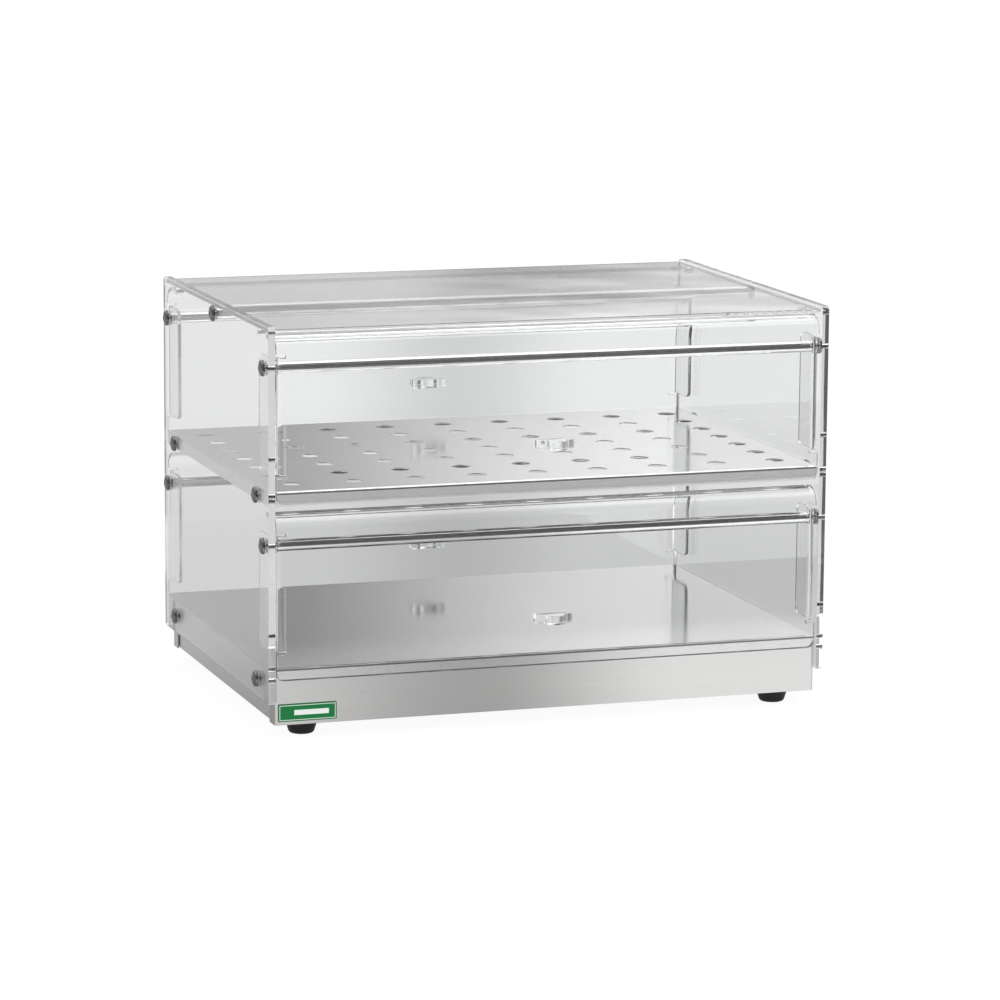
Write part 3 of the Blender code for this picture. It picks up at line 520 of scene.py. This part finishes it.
acrylic = clearAcrylic()
shelfSteel = brushedSteel("satinShelfSteel", steelForm["shelf"])
litFlangeSteel = brushedSteel("satinFlangeSteel", steelForm["flange"])
deckSteel = brushedSteel("polishedDeckSteel", steelForm["deck"], dialForm)
innerSteel = brushedSteel("insideSteel", steelForm["inside"])
rodSteel = brightSteel("brightRodSteel", (0.74, 0.74, 0.74), 0.10)
# the plated screw heads are given a far darker colour than plating has: painted shade, for the dark part of the
# room that their domes reflect
shadedScrewSteel = brightSteel("nickelScrewSteel", (0.19, 0.19, 0.19), 0.14, 0.03)
pinMetal = brightSteel("platedPins", (0.72, 0.68, 0.58), 0.24)
rubber = blackRubber()
plastic = blackPlastic()
sheath = heaterSheath()
zinc = zincPlate()
print("finishes ready")


def deselect():
    if bpy.context.object and bpy.context.object.mode != "OBJECT":
        bpy.ops.object.mode_set(mode="OBJECT")
    bpy.ops.object.select_all(action="DESELECT")


def activate(piece):
    deselect()
    piece.select_set(True)
    bpy.context.view_layer.objects.active = piece


def started(name):
    # names the primitive just added and puts its place into its mesh
    piece = bpy.context.object
    piece.name = name
    piece.data.name = name
    activate(piece)
    bpy.ops.object.transform_apply(location=True, rotation=True, scale=True)
    return piece


def addBlock(name, low, high):
    low, high = Vector(low), Vector(high)
    deselect()
    bpy.ops.mesh.primitive_cube_add(size=1, location=(low + high) / 2, scale=high - low)
    return started(name)


def addBar(name, middle, size, back, front):
    # block along Y with its width and height centred on a point
    wide, tall = size[0] / 2, size[1] / 2
    return addBlock(name, (middle.x - wide, back, middle.z - tall),
                    (middle.x + wide, front, middle.z + tall))


def addRound(name, radius, depth, centre=(0, 0, 0), turn=(0, 0, 0), sides=48):
    deselect()
    bpy.ops.mesh.primitive_cylinder_add(vertices=sides, radius=radius, depth=depth,
                                        location=centre, rotation=turn)
    return started(name)


def leaveEdit():
    bpy.ops.object.mode_set(mode="OBJECT")


def pick(piece, kind, test):
    # selects the faces, edges or corners that pass the test, and stays in edit mode
    activate(piece)
    bpy.ops.object.mode_set(mode="EDIT")
    bpy.ops.mesh.select_mode(type=kind)
    bpy.ops.mesh.select_all(action="DESELECT")
    leaveEdit()
    mesh = piece.data
    if kind == "FACE":
        for face in mesh.polygons:
            face.select = bool(test(face.center, face.normal))
    elif kind == "EDGE":
        for edge in mesh.edges:
            first, second = [mesh.vertices[i].co for i in edge.vertices]
            edge.select = bool(test(first, second))
    else:
        for corner in mesh.vertices:
            corner.select = bool(test(corner.co))
    bpy.ops.object.mode_set(mode="EDIT")


def pickAll(piece):
    pick(piece, "FACE", lambda spot, way: True)


def deleteFaces(piece, test):
    pick(piece, "FACE", test)
    bpy.ops.mesh.delete(type="FACE")
    leaveEdit()


def extrude(x, y, z):
    bpy.ops.mesh.extrude_region_move(TRANSFORM_OT_translate={"value": (x, y, z)})


def bisect(piece, spot, normal):
    pickAll(piece)
    bpy.ops.mesh.bisect(plane_co=spot, plane_no=normal)
    leaveEdit()


def grow(piece, way, base, levels, centre=(0, 0, 0)):
    # draws the end face out in rings; a level is a height above the base and a width
    way = Vector(way)
    (rise, reach), *levels = levels
    for nextRise, nextReach in levels:
        pick(piece, "FACE", lambda spot, normal: normal.dot(way) > 0.9
             and spot.dot(way) > base + rise - 0.00001)
        extrude(*(way * (nextRise - rise)))
        ratio = nextReach / reach
        bpy.ops.transform.resize(value=[1 if axis else ratio for axis in way],
                                 center_override=centre)
        leaveEdit()
        rise, reach = nextRise, nextReach


def roundOff(piece, kind, test, size, steps):
    # bevels the edges or corners that pass the test
    pick(piece, kind, test)
    bpy.ops.mesh.bevel(offset=size, segments=steps, clamp_overlap=False,
                       affect="VERTICES" if kind == "VERT" else "EDGES")
    leaveEdit()


def modified(piece, kind, **settings):
    activate(piece)
    step = piece.modifiers.new(kind, kind)
    for key, value in settings.items():
        setattr(step, key, value)
    bpy.ops.object.modifier_apply(modifier=step.name)
    return piece


def cut(piece, cutter, how="DIFFERENCE"):
    modified(piece, "BOOLEAN", operation=how, object=cutter, solver="EXACT")
    removed(cutter)


def shade(piece, angle=30):
    # smooth bends, flat faces kept true
    activate(piece)
    bpy.ops.object.shade_smooth_by_angle(angle=math.radians(angle))
    modified(piece, "WEIGHTED_NORMAL", keep_sharp=True)


def softEdges(piece, size, steps=1, angle=40, smooth=30):
    # breaks the sharp edges and shades the piece
    modified(piece, "BEVEL", width=size, segments=steps, limit_method="ANGLE",
             angle_limit=math.radians(angle))
    shade(piece, smooth)


def twin(piece, name, move=(0, 0, 0), turn=(0, 0, 0)):
    # a copy with its own mesh, turned about the origin and then moved
    activate(piece)
    bpy.ops.object.duplicate()
    copy = bpy.context.object
    copy.rotation_euler = turn
    copy.location = move
    return started(name)


def removed(*pieces):
    for piece in pieces:
        activate(piece)
        bpy.ops.object.delete()


def fitted(piece, finish, slotName, *nodes):
    # gives a finished piece its material, hangs it on the body of the CAD nodes that it stands for and hides those
    # nodes
    piece.data.materials.clear()
    piece.data.materials.append(finish)
    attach(piece, bodyOf[nodes[0]])
    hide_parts(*nodes)


def centreOf(node):
    low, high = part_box(node)
    return (low + high) / 2


def nodesLike(start, end=""):
    return [name for name in bodyOf if name.startswith(start) and name.endswith(end)]


def near(first, second, room=0.00002):
    return abs(first - second) < room


def alongY(a, b):
    return near(a.x, b.x) and near(a.z, b.z)


def alongZ(a, b):
    return near(a.x, b.x) and near(a.y, b.y)


def rimAt(level):
    # edges of the face that looks along Y at this level
    return lambda a, b: near(a.y, level) and near(b.y, level)


def drill(piece, nodes, across=0, length=1):
    # screw holes along X
    for node in nodes:
        spot = centreOf(node)
        cut(piece, addRound("screwHole", panelForm["hole"], length, (across, spot.y, spot.z),
                            (0, quarter, 0), 32))


panelForm = {"topCorner": 0.004, "lowCorner": 0.002, "steps": 6, "arris": 0.00035,
             "hole": 0.0023, "topPanelCorner": 0.002}


def makeSidePanels():
    for side in ("left", "right"):
        low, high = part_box(side + "_side_panel")
        panel = addBlock(side + "SidePanel", low, high)
        for level, size in ((high.z, panelForm["topCorner"]), (low.z, panelForm["lowCorner"])):
            roundOff(panel, "EDGE",
                     lambda a, b: near(a.z, level) and near(b.z, level) and near(a.y, b.y)
                     and (near(a.y, low.y) or near(a.y, high.y)), size, panelForm["steps"])
        drill(panel, nodesLike("screw_", side), (low.x + high.x) / 2, 0.03)
        softEdges(panel, panelForm["arris"])
        fitted(panel, acrylic, "clear_acrylic", side + "_side_panel")


def makeTopPanel():
    low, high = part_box("top_panel")
    panel = addBlock("topPanel", low, high)
    roundOff(panel, "EDGE", alongZ, panelForm["topPanelCorner"], 5)
    softEdges(panel, panelForm["arris"])
    fitted(panel, acrylic, "clear_acrylic", "top_panel")


makeSidePanels()
makeTopPanel()
print("clear panels ready")


hinges = ("front_upper", "rear_upper", "front_lower", "rear_lower")
doorForm = {"sheet": 0.003, "tongueRadius": 0.016, "tongueSteps": 14, "flangeTop": 0.0095,
            "flangeClear": 0.0245, "bend": 0.008, "bendSteps": 10, "relief": 0.0025,
            "corner": 0.006, "rodHole": 0.0054, "arris": 0.0003}
knobForm = {"lobe": 0.004, "headHalf": 0.0087, "headCorner": 0.0075, "fillet": 0.0018,
            "filletSteps": 6, "lobeRound": 0.985, "steps": 10, "rim": 0.0004}


def camelName(node):
    first, *rest = node.split("_")
    return first + "".join(word.capitalize() for word in rest)


def makeDoor():
    # drawn on its outer face with the hinge at the origin, then given its thickness
    form = doorForm
    low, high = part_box("front_upper_door")
    hinge = centreOf("hinge_rod_front_upper")
    half = high.x
    out = low.y - hinge.y
    drop = low.z - hinge.z
    tongue = form["tongueRadius"]
    bendStart = high.z - hinge.z - tongue
    flangeLow = drop + form["flangeClear"]
    flangeTop = form["flangeTop"]
    turnX = half - form["bend"]
    deselect()
    bpy.ops.mesh.primitive_plane_add(size=1, location=(0, out, (drop + bendStart) / 2),
                                     rotation=(quarter, 0, 0))
    bpy.context.object.scale = (2 * half, bendStart - drop, 1)
    door = started("doorMaster")
    lines = ([((side * turnX, 0, 0), (1, 0, 0)) for side in (-1, 1)]
             + [((0, 0, level), (0, 0, 1))
                for level in (flangeLow - form["relief"], flangeLow, flangeTop)])
    for spot, normal in lines:
        bisect(door, spot, normal)
    # curled tongue over the rod
    pick(door, "EDGE", lambda a, b: near(a.z, bendStart) and near(b.z, bendStart))
    bpy.ops.mesh.spin(steps=form["tongueSteps"], angle=quarter, axis=(1, 0, 0),
                      center=(0, out + tongue, bendStart))
    leaveEdit()
    # side strips away, then the two flanges folded back
    deleteFaces(door, lambda spot, way: abs(spot.x) > turnX and near(spot.y, out)
                and flangeLow - form["relief"] < spot.z < bendStart)
    back = high.y - hinge.y
    for side in (-1, 1):
        pick(door, "EDGE", lambda a, b: near(a.x, side * turnX) and near(b.x, side * turnX)
             and near(a.y, out) and near(b.y, out)
             and flangeLow < (a.z + b.z) / 2 < flangeTop)
        bpy.ops.mesh.spin(steps=form["bendSteps"], angle=-side * quarter, axis=(0, 0, 1),
                          center=(side * turnX, out + form["bend"], 0))
        bpy.ops.mesh.extrude_edges_move(
            TRANSFORM_OT_translate={"value": (0, back - out - form["bend"], 0)})
        leaveEdit()
    roundOff(door, "VERT", lambda a: (near(abs(a.x), half) and near(a.z, drop))
             or (near(a.y, back) and near(abs(a.x), half)), form["corner"], 7)
    pickAll(door)
    bpy.ops.mesh.remove_doubles(threshold=0.000005)
    bpy.ops.mesh.normals_make_consistent(inside=False)
    leaveEdit()
    # the wall is added behind the outer face, so that face has to look to the front
    front = max(door.data.polygons, key=lambda face: face.area)
    if front.normal.y > 0:
        pickAll(door)
        bpy.ops.mesh.flip_normals()
        leaveEdit()
    modified(door, "SOLIDIFY", thickness=form["sheet"], offset=-1, use_even_offset=True)
    cut(door, addRound("rodHole", form["rodHole"], 3 * half, (0, 0, 0), (0, quarter, 0), 48))
    softEdges(door, form["arris"], 1, 50, 25)
    return door


def makeKnob():
    # three-lobed clear plate; its back is at Y 0 and its middle at Z 0
    form = knobForm
    low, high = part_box("front_upper_door_knob")
    half = (high - low) / 2
    deep = high.y - low.y
    bar = 2 * form["lobe"]
    head = form["headHalf"]
    knob = addBlock("knobMaster", (-half.x, -bar, -half.z), (half.x, 0, half.z))
    for spot in (-head, head):
        bisect(knob, (spot, 0, 0), (1, 0, 0))
    pick(knob, "FACE", lambda spot, way: way.y < -0.5 and abs(spot.x) < head / 2)
    extrude(0, bar - deep, 0)
    leaveEdit()
    for across, level, size, steps in (
            (head, -bar, form["fillet"], form["filletSteps"]),
            (head, -deep, form["headCorner"], form["steps"]),
            (half.x, None, form["lobe"] * form["lobeRound"], form["steps"])):
        roundOff(knob, "EDGE", lambda a, b: alongZ(a, b) and near(abs(a.x), across)
                 and (level is None or near(a.y, level)), size, steps)
    softEdges(knob, form["rim"], 2, 60)
    return knob


def makeDoors():
    door = makeDoor()
    knob = makeKnob()
    middle = centreOf("front_upper_door_knob") - centreOf("hinge_rod_front_upper")
    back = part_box("front_upper_door_knob")[1].y - centreOf("hinge_rod_front_upper").y
    knobPlaced = twin(knob, "knobPlaced", (0, back, middle.z))
    for hinge in hinges:
        place = centreOf("hinge_rod_" + hinge)
        turn = (0, 0, 0 if place.y < 0 else math.pi)
        for master, node in ((door, hinge + "_door"), (knobPlaced, hinge + "_door_knob")):
            fitted(twin(master, camelName(node), (0, place.y, place.z), turn), acrylic,
                   "clear_acrylic", node)
    removed(door, knob, knobPlaced)


makeDoors()
print("doors ready")


sheetForm = {"steel": 0.0012, "bend": 0.0025, "steps": 6, "holeRadius": 0.008,
             "edgeX": 0.0253, "edgeY": 0.0370, "columns": 9, "rows": 7, "holeSides": 36,
             "rollOver": 0.0003, "arris": 0.0002, "return": 0.016}
controlForm = {"spindleHole": 0.0045, "lampHole": 0.0045, "switchHole": (0.0130, 0.0192),
               "inletHole": (0.0275, 0.0205), "through": 0.005}


def folded(name, low, high, missing, folds):
    # sheet metal: a block without its missing faces, rounded at the folds
    sheet = addBlock(name, low, high)
    deleteFaces(sheet, missing)
    roundOff(sheet, "EDGE", folds, sheetForm["bend"], sheetForm["steps"])
    return modified(sheet, "SOLIDIFY", thickness=sheetForm["steel"], offset=-1,
                    use_even_offset=True)


def makeTray(name, low, high):
    # deck with four walls turned down, open underneath
    return folded(name, low, high, lambda spot, way: way.z < -0.5,
                  lambda a, b: not (near(a.z, low.z) and near(b.z, low.z)))


def makeShelf():
    form = sheetForm
    low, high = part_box("shelf")
    shelf = makeTray("perforatedShelf", low, high)
    first = (low.x + form["edgeX"], low.y + form["edgeY"])
    punch = addRound("punch", form["holeRadius"], 0.01, (*first, high.z), (0, 0, 0),
                     form["holeSides"])
    step = (-2 * first[0] / (form["columns"] - 1), -2 * first[1] / (form["rows"] - 1))
    for count, offset in ((form["columns"], (step[0], 0, 0)),
                          (form["rows"], (0, step[1], 0))):
        modified(punch, "ARRAY", count=count, use_relative_offset=False,
                 use_constant_offset=True, constant_offset_displace=offset)
    cut(shelf, punch)
    drill(shelf, sorted(nodesLike("screw_shelf", "left")))
    softEdges(shelf, form["rollOver"], 2, 50)
    fitted(shelf, shelfSteel, "satin_steel", "shelf")
    # the turned-down walls take the paler, part-matt copy of the shelf steel: painted light
    shelf.data.materials.append(litFlangeSteel)
    deck = high.z - form["bend"]
    pick(shelf, "FACE", lambda spot, way: spot.z < deck and abs(way.z) < 0.5)
    shelf.active_material_index = 1
    bpy.ops.object.material_slot_assign()
    leaveEdit()


def makeBase():
    low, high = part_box("base_cover")
    cover = makeTray("baseCover", low, high)
    gap = high.y - sheetForm["return"]
    top = high.z - sheetForm["bend"] - sheetForm["steel"]
    cut(cover, addBlock("sideGaps", (-1, -gap, low.z - 0.01), (1, gap, top)))
    through = controlForm["through"]
    for node, size in (("switch_housing", controlForm["switchHole"]),
                       ("power_inlet", controlForm["inletHole"])):
        cut(cover, addBar("cutout", centreOf(node), size, high.y - through, high.y + through))
    for node, radius in (("thermostat_knob", controlForm["spindleHole"]),
                         ("pilot_lamp", controlForm["lampHole"])):
        spot = centreOf(node)
        cut(cover, addRound("cutout", radius, 2 * through, (spot.x, high.y, spot.z),
                            (quarter, 0, 0), 36))
    softEdges(cover, sheetForm["arris"], 1, 50)
    fitted(cover, deckSteel, "satin_steel", "base_cover")

    low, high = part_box("base_chassis")
    # floor with two side walls turned up
    chassis = folded("baseChassis", low, high, lambda spot, way: abs(way.y) > 0.5 or way.z > 0.5,
                     lambda a, b: near(a.z, low.z) and near(b.z, low.z) and near(a.x, b.x))
    drill(chassis, sorted(nodesLike("screw_base", "left")))
    softEdges(chassis, sheetForm["arris"], 1, 50)
    fitted(chassis, innerSteel, "satin_steel", "base_chassis")


makeShelf()
makeBase()
print("folded steel ready")


rodForm = {"sides": 64, "chamfer": 0.0005, "bore": 0.0023, "tapped": 0.011}
screwForm = {"sides": 48, "rim": 0.0009, "domeSteps": 7, "flat": 0.0018, "shank": 0.002,
             "wing": 0.0011, "wingDeep": 0.0020, "wingLong": 0.0052, "wingTip": 0.45,
             "gap": 0.0003, "arris": 0.00012, "spin": (0.37, 1.7)}
pegForm = {"sides": 32, "edge": 0.0004}


def makeRods():
    names = ["hinge_rod_" + hinge for hinge in hinges] + ["top_support_rod"]
    low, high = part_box(names[0])
    rod = addRound("rodMaster", (high.z - low.z) / 2, high.x - low.x, (0, 0, 0),
                   (0, quarter, 0), rodForm["sides"])
    pick(rod, "FACE", lambda spot, way: abs(way.x) > 0.5)
    bpy.ops.mesh.inset(thickness=(high.z - low.z) / 2 - rodForm["bore"])
    leaveEdit()
    for side in (-1, 1):
        pick(rod, "FACE", lambda spot, way: way.x * side > 0.5 and near(spot.y, 0)
             and near(spot.z, 0))
        extrude(-side * rodForm["tapped"], 0, 0)
        leaveEdit()
    softEdges(rod, rodForm["chamfer"], 2, 50)
    for name in names:
        place = centreOf(name)
        fitted(twin(rod, camelName(name), (0, place.y, place.z)), rodSteel, "bright_steel", name)
    removed(rod)


def makeScrews():
    # cross-recess dome head; built standing on Z 0, with the shank downwards
    form = screwForm
    low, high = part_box("screw_top_rod_right")
    radius = (high.z - low.z) / 2
    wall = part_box("right_side_panel")[1].x
    under = wall + form["gap"]
    height = high.x - under
    length = under - low.x
    screw = addRound("screwMaster", radius, form["rim"], (0, 0, form["rim"] / 2),
                     (0, 0, 0), form["sides"])
    angles = [quarter * step / form["domeSteps"] for step in range(form["domeSteps"] + 1)]
    grow(screw, (0, 0, 1), 0, [
        (form["rim"] + (height - form["rim"]) * math.sin(angle),
         form["flat"] + (radius - form["flat"]) * math.cos(angle)) for angle in angles])
    pick(screw, "FACE", lambda spot, way: way.z < -0.9)
    bpy.ops.mesh.inset(thickness=radius - form["shank"])
    extrude(0, 0, -length)
    leaveEdit()
    for long, wide in ((form["wingLong"], form["wing"]), (form["wing"], form["wingLong"])):
        blade = addBlock("crossBlade", (-long / 2, -wide / 2, height - form["wingDeep"]),
                         (long / 2, wide / 2, height + 0.001))
        pick(blade, "FACE", lambda spot, way: way.z < -0.9)
        bpy.ops.transform.resize(value=(form["wingTip"], form["wingTip"], 1))
        leaveEdit()
        cut(screw, blade)
    softEdges(screw, form["arris"], 1, 40, 35)
    first, step = form["spin"]
    for side, way in (("left", -1), ("right", 1)):
        for index, node in enumerate(sorted(nodesLike("screw_", side))):
            place = centreOf(node)
            # each screw stopped at its own angle
            spun = twin(screw, "screwSpun", turn=(0, 0, first + step * index))
            fitted(twin(spun, camelName(node), (way * under, place.y, place.z),
                        (0, way * quarter, 0)), shadedScrewSteel, "bright_steel", node)
            removed(spun)
    removed(screw)


def makePegs():
    names = sorted(nodesLike("top_peg_"))
    low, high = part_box(names[0])
    peg = addRound("pegMaster", (high.z - low.z) / 2, high.x - low.x, (0, 0, 0),
                   (0, quarter, 0), pegForm["sides"])
    softEdges(peg, pegForm["edge"], 3, 50)
    for name in names:
        fitted(twin(peg, camelName(name), centreOf(name)), rodSteel, "bright_steel", name)
    removed(peg)


makeRods()
makeScrews()
makePegs()
print("rods and screws ready")


footForm = {"sides": 56, "shoulder": 0.0022, "tip": 0.0105, "toe": 0.0018, "pocket": 0.0045,
            "pocketDeep": 0.0066, "bore": 0.0023, "edge": 0.0004}


def makeFeet():
    form = footForm
    names = sorted(nodesLike("foot_front") + nodesLike("foot_rear"))
    low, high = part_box(names[0])
    radius = (high.x - low.x) / 2
    top = high.z
    shoulder = top - form["shoulder"]
    foot = addRound("footMaster", radius, form["shoulder"],
                    (0, 0, top - form["shoulder"] / 2), (0, 0, 0), form["sides"])
    pick(foot, "FACE", lambda spot, way: way.z < -0.9)
    extrude(0, 0, -shoulder)
    bpy.ops.transform.resize(value=(form["tip"] / radius, form["tip"] / radius, 1))
    bpy.ops.mesh.inset(thickness=form["tip"] - form["pocket"])
    extrude(0, 0, form["pocketDeep"])
    bpy.ops.mesh.inset(thickness=form["pocket"] - form["bore"])
    leaveEdit()
    cut(foot, addRound("footBore", form["bore"], 0.03, (0, 0, top), (0, 0, 0), 32))
    for level, reach, size, steps in ((0, form["tip"], form["toe"], 5),
                                      (top, radius, form["edge"], 2)):
        roundOff(foot, "EDGE", lambda a, b: all(
            near(end.z, level) and near(math.hypot(end.x, end.y), reach, 0.0001)
            for end in (a, b)), size, steps)
    shade(foot, 35)
    for name in names:
        place = centreOf(name)
        fitted(twin(foot, camelName(name), (place.x, place.y, 0)), rubber, "black_rubber", name)
    removed(foot)


makeFeet()
print("feet ready")


def makeLabel():
    low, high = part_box("label_plate")
    label = addBlock("labelPlate", low, high)
    roundOff(label, "EDGE", alongY, labelForm["corner"], 4)
    softEdges(label, labelForm["arris"], 2, 50)
    fitted(label, greenLabel(low, high), "green_label", "label_plate")


makeLabel()
print("label ready")


dialKnobForm = {"sides": 108, "skirt": 0.0028, "step": 0.0008, "waist": 0.86, "crown": 0.78,
                "crownDeep": 0.0012, "socket": 0.0034, "socketDeep": 0.0078, "flutes": 18,
                "fluteDeep": 0.93, "fluteHalf": 0.2, "fluteEnds": (0.0005, 0.0008),
                "arris": 0.0002, "line": 0.0011, "lineFrom": 0.18}


def makeThermostatKnob():
    form = dialKnobForm
    low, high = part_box("thermostat_knob")
    middle = (low + high) / 2
    radius = (high.x - low.x) / 2
    face, skirt = low.y, form["skirt"]
    deep = high.y - face
    knob = addRound("thermostatKnob", radius, skirt, (middle.x, face + skirt / 2, middle.z),
                    (-quarter, 0, 0), form["sides"])
    centre = Vector((middle.x, face, middle.z))
    grow(knob, (0, 1, 0), face, [
        (skirt, 1), (skirt + form["step"], form["waist"] * 1.05),
        (deep - form["crownDeep"], form["waist"]), (deep, form["crown"])], centre)

    def inFlute(spot):
        phase = math.atan2(spot.x - middle.x, spot.z - middle.z) / (2 * math.pi)
        phase = (phase * form["flutes"]) % 1
        start, end = form["fluteEnds"]
        return abs(phase - 0.5) < form["fluteHalf"] and (
            face + skirt + start < spot.y < high.y - end)

    pick(knob, "VERT", inFlute)
    bpy.ops.transform.resize(value=(form["fluteDeep"], 1, form["fluteDeep"]),
                             center_override=centre)
    leaveEdit()
    cut(knob, addRound("socket", form["socket"], 2 * form["socketDeep"],
                       (middle.x, face, middle.z), (quarter, 0, 0), 24))
    softEdges(knob, form["arris"], 2, 50, 35)

    def pointer(case):
        across, along, up = case.axes(case.place((middle.x, high.y, middle.z)))
        half = form["line"] / 2
        return (case.ramp(abs(across), half * 0.8, half, 1, 0)
                * case.ramp(up, radius * form["lineFrom"], radius * form["lineFrom"] * 1.1)
                * case.ramp(along, -deep * 0.8, -deep * 0.75))

    fitted(knob, blackPlastic("knobPlastic", pointer), "black_plastic", "thermostat_knob")


switchForm = {"bezel": 0.0018, "neck": (0.0124, 0.0186), "wall": 0.0012, "well": 0.0101,
              "corner": 0.0012, "rim": 0.0006, "arris": 0.00012, "rockerTilt": -10.0,
              "rockerGap": 0.0012, "rockerRise": 0.0014, "rockerFoot": 0.005,
              "footTaper": 0.4, "dip": 0.0011, "dipRound": 0.0045, "rockerEdge": 0.0003,
              "markAt": 0.52, "markHalf": 0.0014, "stroke": 0.00022, "blur": 0.00008}


def makeSwitch():
    form = switchForm
    low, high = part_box("switch_housing")
    middle = (low + high) / 2
    face = high.y - form["bezel"]
    neck, wall = form["neck"], form["wall"]
    housing = addBlock("switchHousing", (low.x, face, low.z), high)
    roundOff(housing, "EDGE", alongY, form["corner"], 4)
    roundOff(housing, "EDGE", rimAt(high.y), form["rim"], 3)
    cut(housing, addBar("switchNeck", middle, neck, low.y, face + 0.0004), how="UNION")
    cut(housing, addBar("switchWell", middle, [size - 2 * wall for size in neck],
                        high.y - form["well"], high.y + 0.01))
    softEdges(housing, form["arris"], 1, 50, 35)
    fitted(housing, plastic, "black_plastic", "switch_housing")

    joint = next(j for j in frame["joints"] if j["name"] == "switch_rock")
    pivot = Vector(joint["pos_m"])
    low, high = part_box("switch_rocker")
    halfX = (high.x - low.x) / 2
    halfZ = neck[1] / 2 - wall - form["rockerGap"]
    crest = form["bezel"] + form["rockerRise"]
    rocker = addBlock("rockerMaster", (-halfX, 0, -halfZ), (halfX, crest, halfZ))
    pick(rocker, "FACE", lambda spot, way: way.y < -0.5)
    extrude(0, -form["rockerFoot"], 0)
    bpy.ops.transform.resize(value=(1, 1, form["footTaper"]))
    leaveEdit()
    bisect(rocker, (0, 0, 0), (0, 0, 1))

    def ridgeAt(level):
        return lambda a, b: rimAt(level)(a, b) and near(a.z, 0) and near(b.z, 0)

    pick(rocker, "EDGE", ridgeAt(crest))
    bpy.ops.transform.translate(value=(0, -form["dip"], 0))
    leaveEdit()
    roundOff(rocker, "EDGE", ridgeAt(crest - form["dip"]), form["dipRound"], 6)
    softEdges(rocker, form["rockerEdge"], 3, 50, 35)

    def symbols(case):
        # a line for on and a ring for off
        across, along, up = case.axes(case.place(pivot))
        shown = case.ramp(along, 0.0010, 0.0012)
        half, stroke, blur = form["markHalf"], form["stroke"], form["blur"]
        rise = up - halfZ * form["markAt"]
        fall = up + halfZ * form["markAt"]
        line = (case.ramp(abs(across), stroke, stroke + blur, 1, 0)
                * case.ramp(abs(rise), half, half + 0.0001, 1, 0))
        ring = abs(case.maths("SQRT", across * across + fall * fall) - half)
        return (line + case.ramp(ring, stroke, stroke + blur, 1, 0)) * shown

    placed = twin(rocker, "switchRocker", pivot, (math.radians(form["rockerTilt"]), 0, 0))
    fitted(placed, blackPlastic("rockerPlastic", symbols), "black_plastic", "switch_rocker")
    removed(rocker)


pilotForm = {"collar": 0.001, "gap": 0.0003, "domeSteps": 8, "stem": 0.0040, "arris": 0.0002}


def makeLamp():
    form = pilotForm
    low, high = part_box("pilot_lamp")
    middle = (low + high) / 2
    radius = (high.x - low.x) / 2
    bulge = high.y - fasciaRear - form["gap"]
    face = high.y - bulge
    collar, steps = form["collar"], form["domeSteps"]
    lamp = addRound("pilotLamp", radius, collar, (middle.x, face + collar / 2, middle.z),
                    (-quarter, 0, 0), 48)
    angles = [quarter * step / steps for step in range(steps)]
    grow(lamp, (0, 1, 0), face, [
        (collar + (bulge - collar) * math.sin(angle) / math.sin(angles[-1]), math.cos(angle))
        for angle in angles], (middle.x, face, middle.z))
    pick(lamp, "FACE", lambda spot, way: way.y < -0.9)
    bpy.ops.mesh.inset(thickness=radius - form["stem"])
    extrude(0, low.y - face, 0)
    leaveEdit()
    softEdges(lamp, form["arris"], 2, 60, 35)
    fitted(lamp, amberLens((middle.x, high.y, middle.z)), "amber_lens", "pilot_lamp")


inletForm = {"face": 0.0025, "corner": 0.0020, "rim": 0.0007, "body": (0.0269, 0.0199),
             "mouth": (0.0240, 0.0165), "mouthDeep": 0.019, "mouthCorner": 0.0045,
             "mouthRound": 0.0012, "arris": 0.00015, "pin": (0.002, 0.004), "pinEnd": 0.0007,
             "pinRoot": 0.002, "gap": 0.007, "drop": 0.002, "back": 0.006}


def makeInlet():
    form = inletForm
    low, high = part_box("power_inlet")
    middle = (low + high) / 2
    face = high.y - form["face"]
    bottom = high.y - form["mouthDeep"]
    inlet = addBlock("powerInlet", (low.x, face, low.z), high)
    roundOff(inlet, "EDGE", alongY, form["corner"], 5)
    roundOff(inlet, "EDGE", rimAt(high.y), form["rim"], 3)
    cut(inlet, addBar("inletBody", middle, form["body"], low.y, face + 0.0005), how="UNION")
    # the mouth's upper corners are cut off, so that a plug only goes in one way up
    hollow = addBar("inletMouth", middle, form["mouth"], bottom, high.y + 0.01)
    roundOff(hollow, "EDGE", lambda a, b: alongY(a, b) and a.z > middle.z,
             form["mouthCorner"], 1)
    roundOff(hollow, "EDGE", lambda a, b: alongY(a, b) and a.z < middle.z,
             form["mouthRound"], 4)
    cut(inlet, hollow)
    softEdges(inlet, form["arris"], 1, 50, 35)
    fitted(inlet, plastic, "black_plastic", "power_inlet")
    tip = high.y - form["back"]
    for index, (x, z) in enumerate(((-form["gap"], -form["drop"]), (0, form["drop"]),
                                    (form["gap"], -form["drop"]))):
        pin = addBar(f"inletPin{index + 1}", middle + Vector((x, 0, z)), form["pin"],
                     bottom - form["pinRoot"], tip)
        roundOff(pin, "EDGE", rimAt(tip), form["pinEnd"], 3)
        shade(pin, 35)
        pin.data.materials.append(pinMetal)
        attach(pin, bodyOf["power_inlet"])


makeThermostatKnob()
makeSwitch()
makeLamp()
makeInlet()
print("controls ready")


def dressCad():
    kept = {"heating_element": sheath, "heater_strap_left": innerSteel,
            "heater_strap_right": innerSteel, "thermostat_body": plastic}
    kept.update({name: zinc for name in nodesLike("foot_screw_")})
    for name, finish in kept.items():
        for holder in frame["nodes"][name].material_slots:
            holder.material = finish


dressCad()
deselect()

print("all pieces ready")
